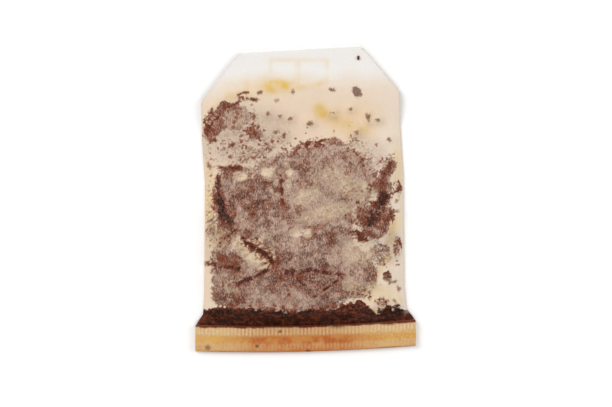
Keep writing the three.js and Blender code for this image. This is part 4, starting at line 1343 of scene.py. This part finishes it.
    # Broad darker and lighter ground in the leaf seen through the sheet.
    dark_ground: tuple[Oval | Line, ...] = (
        Oval(-15.8, -3.0, 1.8, 3.0, 0, 1.0),
        Oval(-16.6, -6.4, 2.6, 2.2, 0, 0.7),
        Oval(-16.8, -11.6, 3.4, 2.2, -8, 0.8),
        Oval(-15.4, -19.4, 4.0, 2.4, 0, 0.7),
        Oval(-9.4, 2.4, 1.6, 3.0, 0, 0.5),
        Oval(-1.0, -15.4, 6.4, 1.8, -3, 0.9),
        Oval(4.4, -8.0, 1.8, 1.4, 0, 0.4),
        Oval(11.8, -4.0, 2.2, 3.6, -15, 0.8),
        Oval(14.4, 2.0, 1.8, 2.8, -15, 0.5),
        Oval(9.6, -21.6, 3.4, 1.4, 0, 0.8),
        Oval(14.8, -11.0, 3.0, 2.4, 0, 0.7),
        Oval(-6.0, -11.8, 2.6, 1.7, -40, 0.9),
        Oval(-10.6, 0.8, 3.0, 3.4, 0, 0.35),
        Oval(16.8, -3.0, 1.0, 2.0, 0, 0.6),
    )
    light_ground: tuple[Oval | Line, ...] = (
        Line(((-15.4, -0.8), (-12.6, -4.0), (-9.2, -6.2), (-6.0, -9.4), (-4.2, -11.8)), 1.5, 1.0),
        Oval(-13.4, 16.4, 3.6, 2.2, 20, 1.0),
        Oval(-13.0, 2.8, 1.2, 2.4, 0, 0.3),
        Oval(2.4, 9.4, 5.6, 2.2, 0, 0.85),
        Oval(8.2, 7.6, 4.0, 2.4, -20, 0.7),
        Oval(-7.4, 6.4, 1.6, 1.8, 0, 0.7),
        Oval(-2.4, 1.6, 1.6, 2.6, 0, 0.9),
        Oval(2.4, -0.8, 3.6, 2.2, 0, 0.9),
        Oval(11.6, 4.6, 1.8, 3.4, 0, 0.8),
        Oval(14.6, 6.8, 2.4, 1.6, -20, 0.6),
        Oval(-3.6, -7.6, 4.0, 2.8, -30, 0.8),
        Oval(7.4, -5.6, 2.4, 1.8, 0, 0.9),
        Oval(7.2, -12.4, 2.6, 2.2, 0, 0.9),
        Oval(9.4, -15.4, 2.2, 1.6, 0, 0.8),
        Oval(-4.0, -20.2, 5.0, 1.4, 0, 0.8),
        Oval(-11.6, -18.8, 2.4, 1.8, 0, 0.7),
        Oval(2.4, -17.8, 1.8, 1.2, 0, 0.5),
    )
    fleck_zones: tuple[Oval, ...] = (
        Oval(-11.5, 10.4, 9.2, 3.6, 8, 0.9, 0.35),
        Oval(-13.6, 15.6, 4.6, 3.2, 20, 1.0, 0.4),
        Oval(-17.2, 11.0, 3.0, 3.4, 0, 0.9, 0.4),
        Oval(-3.4, 12.0, 4.6, 3.0, 30, 0.6, 0.4),
        Oval(8.0, 12.6, 6.0, 3.4, -20, 0.35, 0.5),
        Oval(16.4, 6.0, 2.4, 5.0, 0, 0.5, 0.4),
        Oval(16.4, -12.0, 2.6, 6.4, 0, 0.55, 0.4),
        Oval(-18.6, -4.0, 1.3, 12.0, 0, 0.55, 0.4),
        Oval(-16.0, -8.6, 3.0, 3.0, 0, 0.8, 0.4),
    )
    # Where leaf shows through the back sheet.
    back_leaf: tuple[Oval, ...] = (
        Oval(-2.4, -6.4, 15.0, 12.6, 8, 0.75, 0.35),
        Oval(12.6, 0.6, 4.4, 6.4, -20, 0.6, 0.4),
        Oval(-13.4, 14.6, 4.6, 3.2, 30, 0.5, 0.4),
        Oval(0.0, -22.6, 18.0, 2.2, 0, 0.9, 0.4),
    )
    hem_specks: tuple[Oval, ...] = (
        Oval(-5.1, -26.6, 0.35, 0.25, 20, 0.9),
        Oval(-9.7, -29.5, 0.35, 0.3, 0, 0.9),
        Oval(0.5, -30.5, 0.5, 0.3, 0, 0.7),
        Oval(-19.6, -29.8, 0.6, 0.5, 0, 0.6),
        Oval(-4.8, -25.3, 2.2, 0.35, -2, 0.7),
        Oval(6.4, -25.6, 1.6, 0.3, 2, 0.5),
        Oval(-17.2, -25.0, 1.4, 0.3, 2, 0.6),
        Oval(16.4, -25.0, 1.8, 0.3, 0, 0.5),
    )
    bank_bumps: tuple[Oval, ...] = (
        Oval(-14.6, -22.0, 4.8, 6.0, 0, 0.5, 0.4),
        Oval(9.6, -22.0, 3.0, 6.0, 0, 1.1, 0.4),
        Oval(17.4, -22.0, 2.8, 6.0, 0, 0.55, 0.7),
    )
    bank_gap: Oval = Oval(14.4, -22.5, 0.8, 1.0, 15, 0.5, 0.6)
    bank_top: float = -22.6
    # Heights up the tube, and distances from its middle, over which these marks come in or fade.
    wing_rows: tuple[float, float] = (-23.4, -22.6)
    wing_sides: tuple[float, float] = (19.2, 20.3)
    hem_line_rows: tuple[float, float] = (-24.7, -24.3)
    hem_middle: tuple[float, float] = (5.0, 18.5)
    white_rows: tuple[float, float] = (20.4, 26.2)
    blush_rows: tuple[float, float] = (15.0, 23.0)
    square_rows: tuple[float, float] = (22.9, 27.9)
    square_stripes: tuple[float, ...] = (-7.0, -1.85, -1.35, 4.3)

    def build(self) -> bpy.types.Object:
        """Makes the sheet, dresses it, and gives it its place in the frame."""
        rings, faces = self._tube()
        points = np.vstack([ring.points for ring in rings])
        front = self._front_indices(rings)
        contact = self._drape(rings, points, front)
        mesh = new_mesh("filter_paper", points, faces)
        self._marks(mesh, rings, points, contact)
        self._unwrap(mesh, rings)
        mesh = self._join(mesh, [self._corner(-1), self._corner(1), self._back_seam()])
        inputs = {"Rib Height": self.rib_height * MM, "Material": self.materials.paper}
        piece = run_tree("filter_paper", mesh, self._crimp_tree(), inputs)
        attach(piece, BODY)
        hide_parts("filter_paper_bag")
        LOG.info("%s: %d faces", piece.name, len(piece.data.polygons))
        return piece

    # ------------------------------------------------------------ rings and faces

    def _across(self, left: float, right: float, steps: int) -> np.ndarray:
        """Even places across the tube."""
        return np.linspace(left, right, steps + 1)

    def _flat_ring(self, stop: FoldStop, tube: float, inset: float, steps: int, part: Part) -> Ring:
        """A ring where the tube is flat, at a stop of a fold path."""
        left = inset - float(self.form.side(-1, stop.height))
        right = float(self.form.side(1, stop.height)) - inset
        xs = self._across(left, right, steps)

        def place(x: np.ndarray, h: float) -> np.ndarray:
            y = stop.y + h * math.sin(stop.angle) + self.form.skew(x, stop.height)
            return np.column_stack([x, y, np.full_like(x, stop.z + h * math.cos(stop.angle))])

        points = np.vstack([place(xs, tube - inset), place(xs[::-1], inset)])
        return Ring(points, part, inset > 0)

    def _body_ring(self, y: float, inner: bool, steps: int) -> Ring:
        """A ring round the filled part of the bag."""
        inset = self.form.paper if inner else 0.0
        left = inset - float(self.form.side(-1, y))
        right = float(self.form.side(1, y)) - inset
        xs = self._across(left, right, steps)
        back = self.form.lift(xs, y)
        front = back + self.form.thickness(xs, y) - inset
        ys = y + self.form.skew(xs, y)
        upper = np.column_stack([xs, ys, front])
        lower = np.column_stack([xs, ys, back + inset])[::-1]
        return Ring(np.vstack([upper, lower]), Part.BODY, inner)

    def _tube(self) -> tuple[list[Ring], list[tuple[int, ...]]]:
        """Makes the whole tube's rings, outside and then inside, and the faces between them.

        Returns:
            The rings in order, and the faces as corner indices.
        """
        form = self.form
        fine = self.ribs * self.points_per_rib
        middle, coarse = fine // 2, fine // 4
        turn = form.hem_thickness / 2.0
        hem = (
            FoldPath(form.hem_y, 0.0, 0.0, form.hem_y)
            .straight(form.hem_height - 0.5, 4)
            .turn(turn, math.pi, 10)
            .straight(form.hem_height - 0.6, 16)
            .turn(form.pressed_tube + form.layer_gap / 2.0, 2.0 * math.pi, 7)
            .straight(form.hem_height - 0.9, 3)
            .stops
        )
        fold_y, flap = form.top_y + 0.5, form.flap_length
        mouth = FoldPath(form.top_y - flap, form.flat_tube, math.pi, fold_y + flap)
        top = mouth.straight(flap, 10, fold_y).turn(-form.top_fold_radius, 0.0, 8).stops
        body = np.linspace(form.top_y - 0.25, form.hem_y + 0.3, self.rows)

        rings = [self._flat_ring(s, form.pressed_tube, 0.0, fine, Part.HEM) for s in reversed(hem)]
        rings += [self._body_ring(float(y), False, middle) for y in body[::-1]]
        rings += [self._flat_ring(s, form.flat_tube, 0.0, middle, Part.TOP) for s in reversed(top)]
        rings += [self._flat_ring(s, form.flat_tube, form.paper, coarse, Part.TOP) for s in top]
        rings += [self._body_ring(float(y), True, coarse) for y in body[:: self.inner_rows]]
        first = 0
        for ring in rings:
            ring.first = first
            first += len(ring.points)
        faces = self._cap(rings[0], True) + self._cap(rings[-1], False)
        for a, b in zip(rings, rings[1:]):
            faces += self._skin(a, b)
        return rings, faces

    @staticmethod
    def _strip(a: list[int], b: list[int]) -> list[tuple[int, ...]]:
        """Faces between two rows of points, one of which may have twice the steps of the other."""
        if len(a) == len(b):
            return [(a[i], a[i + 1], b[i + 1], b[i]) for i in range(len(a) - 1)]
        faces: list[tuple[int, ...]] = []
        if len(a) > len(b):
            for i in range(len(b) - 1):
                a0, a1, a2 = a[2 * i], a[2 * i + 1], a[2 * i + 2]
                faces += [(a0, a1, b[i]), (a1, b[i + 1], b[i]), (a1, a2, b[i + 1])]
            return faces
        for i in range(len(a) - 1):
            b0, b1, b2 = b[2 * i], b[2 * i + 1], b[2 * i + 2]
            faces += [(a[i], b1, b0), (a[i], a[i + 1], b1), (a[i + 1], b2, b1)]
        return faces

    def _skin(self, a: Ring, b: Ring) -> list[tuple[int, ...]]:
        """Faces between two neighbouring rings."""
        faces = self._strip(a.front, b.front) + self._strip(a.back, b.back)
        faces.append((a.front[-1], a.back[0], b.back[0], b.front[-1]))
        faces.append((a.back[-1], a.front[0], b.front[0], b.back[-1]))
        return faces

    @staticmethod
    def _cap(ring: Ring, at_start: bool) -> list[tuple[int, ...]]:
        """Closes an end ring, joining each front point to the back point behind it."""
        faces = []
        last = len(ring.points) - 1
        for i in range(ring.half - 1):
            front, back = ring.first + i, ring.first + last - i
            corner = (front, back, back - 1, front + 1)
            faces.append(corner if at_start else corner[::-1])
        return faces

    @staticmethod
    def _front_indices(rings: list[Ring]) -> np.ndarray:
        """Indices of the front sheet's outer body points, one row a ring."""
        return np.array([ring.front for ring in rings if ring.outer_body])

    # ------------------------------------------------------------ draping

    @staticmethod
    def _blur(grid: np.ndarray, rounds: int) -> np.ndarray:
        """Averages each inner place with its neighbours, and leaves the border as it is."""
        grid = grid.copy()
        for _ in range(rounds):
            near = grid[:-2, 1:-1] + grid[2:, 1:-1] + grid[1:-1, :-2] + grid[1:-1, 2:]
            grid[1:-1, 1:-1] = 0.5 * grid[1:-1, 1:-1] + 0.125 * near
        return grid

    def _drape(self, rings: list[Ring], points: np.ndarray, front: np.ndarray) -> dict[str, np.ndarray]:
        """Lays the front sheet over the leaf, and moves its inside face with it.

        Args:
            rings: All the rings.
            points: Every vertex, changed in place.
            front: Indices of the front sheet's outer points.

        Returns:
            Where the front sheet clings to leaf, has leaf near under it, and lies over a scrap, 0 to 1.
        """
        x, y = points[front, 0], points[front, 1]
        paper = self.form.paper
        up = self.form.level(x, y)
        edge = self.form.edge(x, up)
        leaf = top_of(self.leaf, x, y)
        rest = self._raised(leaf, y)
        sheet = np.maximum(self.form.hang(x, y), rest + 0.02) + paper
        for _ in range(self.settle_rounds):
            sheet = np.maximum(self._blur(sheet, 1), rest + paper + 0.01)
        sheet = self._blur(sheet, 1)
        gap = sheet - paper - leaf
        scraps = [piece for piece in self.leaf if piece.name.startswith(("leaf_scrap", "stalk"))]
        over_scrap = sheet - paper - top_of(scraps, x, y)
        touch = np.maximum(np.exp(-np.maximum(gap, 0.0) / 0.28), np.exp(-np.maximum(over_scrap, 0.0) / 1.1))
        near = np.exp(-np.maximum(self._blur(np.minimum(gap, 4.0), 3), 0.0) / 1.1)
        folds = 1.5 * sum(line.weight(x, y) for line in self.puckers)
        sheet = sheet + folds * smoothstep(edge, 0.0, 1.5)
        sheet = np.maximum(sheet, np.maximum(self.form.lift(x, up) + 2.2 * paper, rest + paper))
        points[front, 2] = sheet
        inner = [ring for ring in rings if ring.part is Part.BODY and ring.inner]
        outer = [ring for ring in rings if ring.outer_body][::-1]
        for ring, over in zip(inner, outer[:: self.inner_rows]):
            under = np.interp(points[ring.front, 0], points[over.front, 0], points[over.front, 2]) - paper
            points[ring.front, 2] = np.maximum(under, points[ring.back[::-1], 2] + 0.02)
        scrap = np.minimum(1.35 * self._blur((over_scrap < 20.0).astype(float), 3), 1.0)
        return {"cling": touch, "near": near, "scrap": scrap}

    def _raised(self, rest: np.ndarray, y: np.ndarray) -> np.ndarray:
        """Raises the height that leaf reaches under each point to that of the leaf's own corners near it."""
        rest = rest.copy()
        corners = np.vstack([points_of(piece.data) for piece in self.leaf])
        up = self.form.level(corners[:, 0], corners[:, 1])
        left, right = self.form.side(-1, up), self.form.side(1, up)
        rows, columns = rest.shape
        middle = self.form.level(np.zeros(rows), y[:, columns // 2])
        row = (up - middle[0]) / (middle[-1] - middle[0]) * (rows - 1)
        column = (corners[:, 0] + left) / (left + right) * (columns - 1)
        for down, across in ((0, 0), (0, 1), (1, 0), (1, 1)):
            i, j = np.floor(row).astype(int) + down, np.floor(column).astype(int) + across
            held = (i >= 0) & (i < rows) & (j >= 0) & (j < columns)
            np.maximum.at(rest, (i[held], j[held]), corners[held, 2])
        return rest

    # ------------------------------------------------------------ marks

    def _marks(
        self, mesh: bpy.types.Mesh, rings: list[Ring], points: np.ndarray, contact: Mapping[str, np.ndarray]
    ) -> None:
        """Stores the sheet's marks on its vertices, by name.

        Args:
            mesh: The sheet's mesh.
            rings: All the rings.
            points: Every vertex.
            contact: How the front sheet lies on the leaf, from the drape.
        """
        form = self.form
        x, y, z = points.T
        up = form.level(x, y)
        inner, hem, front, back, cling, near, scrap = np.zeros((7, len(points)))
        for ring in rings:
            inner[ring.front], inner[ring.back] = ring.inner, ring.inner
            hem[ring.front], hem[ring.back] = ring.part is Part.HEM, ring.part is Part.HEM
            front[ring.front], back[ring.back] = ring.outer_body, ring.outer_body
        draped = self._front_indices(rings).ravel()
        for kept, name in ((cling, "cling"), (near, "near"), (scrap, "scrap")):
            kept[draped] = contact[name].ravel()

        def marked(marks: Sequence[Oval | Line]) -> np.ndarray:
            """How strong some marks are at each vertex of the front sheet."""
            return strongest(marks, x, y) * front

        tight = marked(self.tight_marks)
        near = np.maximum.reduce([near, marked(self.veil_marks), 0.8 * tight]) * (1.0 - 0.8 * scrap)
        behind = strongest(self.back_leaf, x, y) * back
        # The hem's dark ends, soaked with leaf and darkened by painted shade, and a dark line where the front
        # sheet meets the hem.
        wing_soak_and_shade = fading(up, *self.wing_rows) * smoothstep(np.abs(x), *self.wing_sides) * (1.0 - hem)
        wing_soak_and_shade = np.maximum(wing_soak_and_shade, fading(up, *self.hem_line_rows) * front)
        white = smoothstep(up + 0.9 * value_noise(x, y, 4.2, 51), *self.white_rows)
        # Darkens the front sheet faintly along its outermost rim at the sides; it is kept with the painted
        # crease shade.
        darker_side_rim = 0.1 * front * fading(form.edge(x, up), 0.05, 0.3)
        height = (up - (form.hem_y - form.hem_height - 0.02)) * hem
        stored = {
            "inner": inner,
            "hem": hem,
            "cling": np.maximum(cling, 0.7 * behind),
            "near": np.maximum(near, behind),
            "pale": marked(self.pale_marks),
            "stain": np.maximum(marked(self.stains), self._squares(x, y) * front),
            "damp": marked(self.damp_marks),
            "tight": tight,
            "depth": marked(self.dark_ground) - marked(self.light_ground),
            "scrap": scrap,
            "fleck": marked(self.fleck_zones),
            "cream": 1.0 - 0.85 * white,
            "blush": (1.0 - white) * self._blush(x, up),
            "soak": np.maximum(wing_soak_and_shade, self._bank(x, y) * front),
            "wing_soak_and_shade": wing_soak_and_shade,
            "crease_shade": np.maximum(marked(self.creases), darker_side_rim),
            "speck": strongest(self.hem_specks, x, y) * hem,
            "hem_height": height,
            "hem_middle": fading(np.abs(x + 1.0), *self.hem_middle),
            "rib": self._rib(x, height) * hem * (z > form.hem_thickness - 0.08),
            "solid": np.maximum(hem, np.maximum(white, 1.0 - front) * (1.0 - inner)),
        }
        for name, values in stored.items():
            set_mask(mesh, name, values)

    def _bank(self, x: np.ndarray, y: np.ndarray) -> np.ndarray:
        """Where the paper is soaked dark over the leaf banked up along the hem."""
        edge = self.bank_top + 0.6 * value_noise(x, y, 2.6, 31) + 0.4 * value_noise(x, y, 1.1, 32)
        edge += 1.5 * strongest(self.bank_bumps, x, y)
        return fading(y, edge - 0.9, edge + 1.2) * (1.0 - self.bank_gap.weight(x, y))

    def _blush(self, x: np.ndarray, up: np.ndarray) -> np.ndarray:
        """How rosy the paper is: most in the middle, less towards the top and towards its right edge."""
        at_edge, reach = np.where(x > 0.0, 0.12, 0.8), np.where(x > 0.0, 13.0, 7.0)
        across = at_edge + (1.0 - at_edge) * smoothstep(20.0 - np.abs(x), 1.0, reach)
        return (1.0 - 0.45 * smoothstep(up, *self.blush_rows)) * across

    def _squares(self, x: np.ndarray, y: np.ndarray) -> np.ndarray:
        """The faint twin squares that the folds behind have printed through the top."""
        low, high = self.square_rows
        left, right = self.square_stripes[0], self.square_stripes[-1]
        inside_y = smoothstep(y, low - 0.6, low) * fading(y, high, high + 0.5)
        inside_x = smoothstep(x, left - 0.3, left + 0.2) * fading(x, right - 0.2, right + 0.3)
        stripes = np.max([np.exp(-(((x - at) / 0.42) ** 2)) for at in self.square_stripes], axis=0)
        top = np.exp(-(((y - high) / 0.45) ** 2))
        fade = 0.2 + 0.12 * value_noise(x, y, 1.6, 41)
        return np.maximum(stripes * inside_y, top * inside_x) * fade

    def _rib(self, x: np.ndarray, height: np.ndarray) -> np.ndarray:
        """How far up a crimp rib each place is, 0 between ribs and 1 on a crest."""
        phase = (x + self.form.hem_half_width) / (2.0 * self.form.hem_half_width) * self.ribs
        crest = 0.5 + 0.5 * np.cos(2.0 * np.pi * phase)
        upper = smoothstep(height, 3.1, 3.5) * fading(height, 4.95, 5.2)
        lower = smoothstep(height, 0.35, 0.7) * fading(height, 1.6, 1.9) * 0.7
        return crest * np.maximum(upper, lower)

    @staticmethod
    def _unwrap(mesh: bpy.types.Mesh, rings: list[Ring]) -> None:
        """Lays the tube out flat: round it goes across, and its hem's end to its inside goes up."""
        across = np.concatenate([np.arange(len(r.points)) / len(r.points) for r in rings])
        along = np.concatenate([np.full(len(r.points), i / (len(rings) - 1)) for i, r in enumerate(rings)])
        corners = np.zeros(len(mesh.loops), int)
        mesh.loops.foreach_get("vertex_index", corners)
        starts, totals = (np.zeros(len(mesh.polygons), int) for _ in range(2))
        mesh.polygons.foreach_get("loop_start", starts)
        mesh.polygons.foreach_get("loop_total", totals)
        u, v = across[corners], along[corners]
        owner = np.repeat(np.arange(len(starts)), totals)
        widest = np.zeros(len(starts))
        np.maximum.at(widest, owner, u)
        u = np.where(widest[owner] - u > 0.5, u + 1.0, u)
        set_layout(mesh, 0.96 * u, v)

    # ------------------------------------------------------------ the parts behind

    @staticmethod
    def _plate(outline: Sequence[tuple[float, float]], low: float, high: float, row: int) -> bpy.types.Mesh:
        """A flat closed plate of paper layers.

        Args:
            outline: Its outline in plan.
            low: Its underside.
            high: Its top.
            row: Which row it takes up in the free strip beside the tube's flat layout.

        Returns:
            The plate's mesh.
        """
        count = len(outline)
        area = sum(a[0] * b[1] - b[0] * a[1] for a, b in zip(outline, [*outline[1:], outline[0]]))
        round_it = list(outline) if area > 0 else list(outline)[::-1]
        points = [(x, y, z) for z in (low, high) for x, y in round_it]
        faces = [tuple(range(count - 1, -1, -1)), tuple(range(count, 2 * count))]
        faces += [(i, (i + 1) % count, count + (i + 1) % count, count + i) for i in range(count)]
        mesh = new_mesh("folded_layers", np.array(points), faces)
        for name, value in (("solid", 1.0), ("cream", 0.5), ("blush", 0.3), ("stain", 0.04)):
            set_mask(mesh, name, np.full(2 * count, value))
        place = np.array(points)[[corner for face in faces for corner in face], :2]
        share = (place - place.min(0)) / np.ptp(place, axis=0)
        set_layout(mesh, 0.97 + 0.025 * share[:, 0], (row + 0.05 + 0.9 * share[:, 1]) / 3.0)
        return mesh

    def _corner(self, sign: int) -> bpy.types.Mesh:
        """A top corner, folded behind the bag along its slanted edge."""
        form = self.form
        low, high = 20.6, form.top_y
        inner = form.seam_x + sign * 3.1

        def at(x: float, y: float) -> tuple[float, float]:
            return x, y + float(form.skew(np.array(x), y))

        outline = [
            at(sign * float(form.side(sign, low)), low),
            at(sign * float(form.side(sign, high)), high),
            at(inner + sign * 1.2, high),
            at(inner, low + 3.2),
        ]
        bottom = form.flat_tube + 0.08
        return self._plate(outline, bottom, bottom + form.pressed_tube, 0 if sign < 0 else 1)

    def _back_seam(self) -> bpy.types.Mesh:
        """The lengthwise seam: the sheet's two edges folded together and lying flat under the back."""
        form = self.form
        left, right = form.seam_x - form.seam_half_width, form.seam_x + form.seam_half_width
        outline = [(left, -22.0), (right, -22.0), (right, 20.4), (left, 20.4)]
        return self._plate(outline, 0.0, form.seam_thickness, 2)

    @staticmethod
    def _join(first: bpy.types.Mesh, others: Sequence[bpy.types.Mesh]) -> bpy.types.Mesh:
        """Joins meshes into one."""
        objects = [add_object("part_of_paper", mesh) for mesh in (first, *others)]
        with bpy.context.temp_override(active_object=objects[0], selected_editable_objects=objects):
            bpy.ops.object.join()
        mesh = objects[0].data
        bpy.data.objects.remove(objects[0])
        return mesh

    # ------------------------------------------------------------ the crimp

    @staticmethod
    def _crimp_tree() -> bpy.types.NodeTree:
        """Makes the tree that presses the crimp's ribs into the hem."""
        inputs = {"Geometry": "Geometry", "Rib Height": "Float", "Material": "Material"}
        g = Graph.group("hem_crimp", "GeometryNodeTree", inputs, {"Geometry": "Geometry"})
        given = g.add("NodeGroupInput").outputs
        rib = g.stored("rib")
        shown = g.math("GREATER_THAN", rib, 0.001)
        rise = g.times(g.minus(rib, 0.35), given["Rib Height"])
        offset = g.add("ShaderNodeCombineXYZ", {2: rise}).outputs[0]
        inputs = {"Geometry": given["Geometry"], "Selection": shown, "Offset": offset}
        return g.close(g.add("GeometryNodeSetPosition", inputs).outputs[0], given["Material"])


# -------------------------------------------------------------------------------- the set


@dataclass
class Studio:
    """The camera, the pale table and the soft light."""

    materials: Materials
    camera_height: float = 0.62
    view_width: float = 0.1224
    view_centre: tuple[float, float] = (0.0001, -0.0009)
    subject_height: float = 0.003
    table_size: float = 1.6

    def build(self) -> None:
        """Sets up the whole studio."""
        self._camera()
        self._table()
        self._light("key_panel", (-0.5, 0.42, 0.55), 0.5, 3.9)
        self._light("side_panel", (0.62, 0.12, 0.5), 0.5, 2.0)
        self._light("near_panel", (0.0, -0.66, 0.45), 0.5, 1.5)
        world = bpy.data.worlds.new("studio_air")
        world.use_nodes = True
        world.node_tree.nodes["Background"].inputs["Color"].default_value = (1.0, 0.99, 0.975, 1.0)
        world.node_tree.nodes["Background"].inputs["Strength"].default_value = 0.47
        bpy.context.scene.world = world
        bpy.context.scene.view_settings.view_transform = "Standard"

    def _camera(self) -> None:
        """Looks straight down with a long lens."""
        lens = bpy.data.cameras.new("overhead")
        distance = self.camera_height - self.subject_height
        lens.lens = lens.sensor_width * distance / self.view_width
        lens.clip_start, lens.clip_end = 0.01, 10.0
        camera = bpy.data.objects.new("overhead", lens)
        camera.location = (*self.view_centre, self.camera_height)
        bpy.context.scene.collection.objects.link(camera)
        bpy.context.scene.camera = camera

    def _table(self) -> None:
        """Lays the table top just under the bag."""
        half = 0.5 * self.table_size / MM
        corners = [(-half, -half, -0.02), (half, -half, -0.02), (half, half, -0.02), (-half, half, -0.02)]
        table = add_object("table_top", new_mesh("table_top", np.array(corners), [(0, 1, 2, 3)]))
        table.data.materials.append(self.materials.table)

    @staticmethod
    def _light(name: str, place: tuple[float, float, float], size: float, power: float) -> None:
        """Hangs a square soft light that points at the bag."""
        panel = bpy.data.lights.new(name, "AREA")
        panel.shape, panel.size, panel.energy = "SQUARE", size, power
        lamp = bpy.data.objects.new(name, panel)
        lamp.location = place
        lamp.rotation_euler = (-Vector(place)).to_track_quat("-Z", "Y").to_euler()
        bpy.context.scene.collection.objects.link(lamp)


def main() -> None:
    """Builds the bag and its set, in order."""
    logging.basicConfig(level=logging.INFO, format="%(name)s %(message)s")
    materials = Materials()
    Studio(materials).build()
    form = BagForm()
    inside = WetLeaf(form, LeafTrees(), materials).build()
    FilterPaper(form, materials, inside).build()


if __name__ == "__main__":
    main()
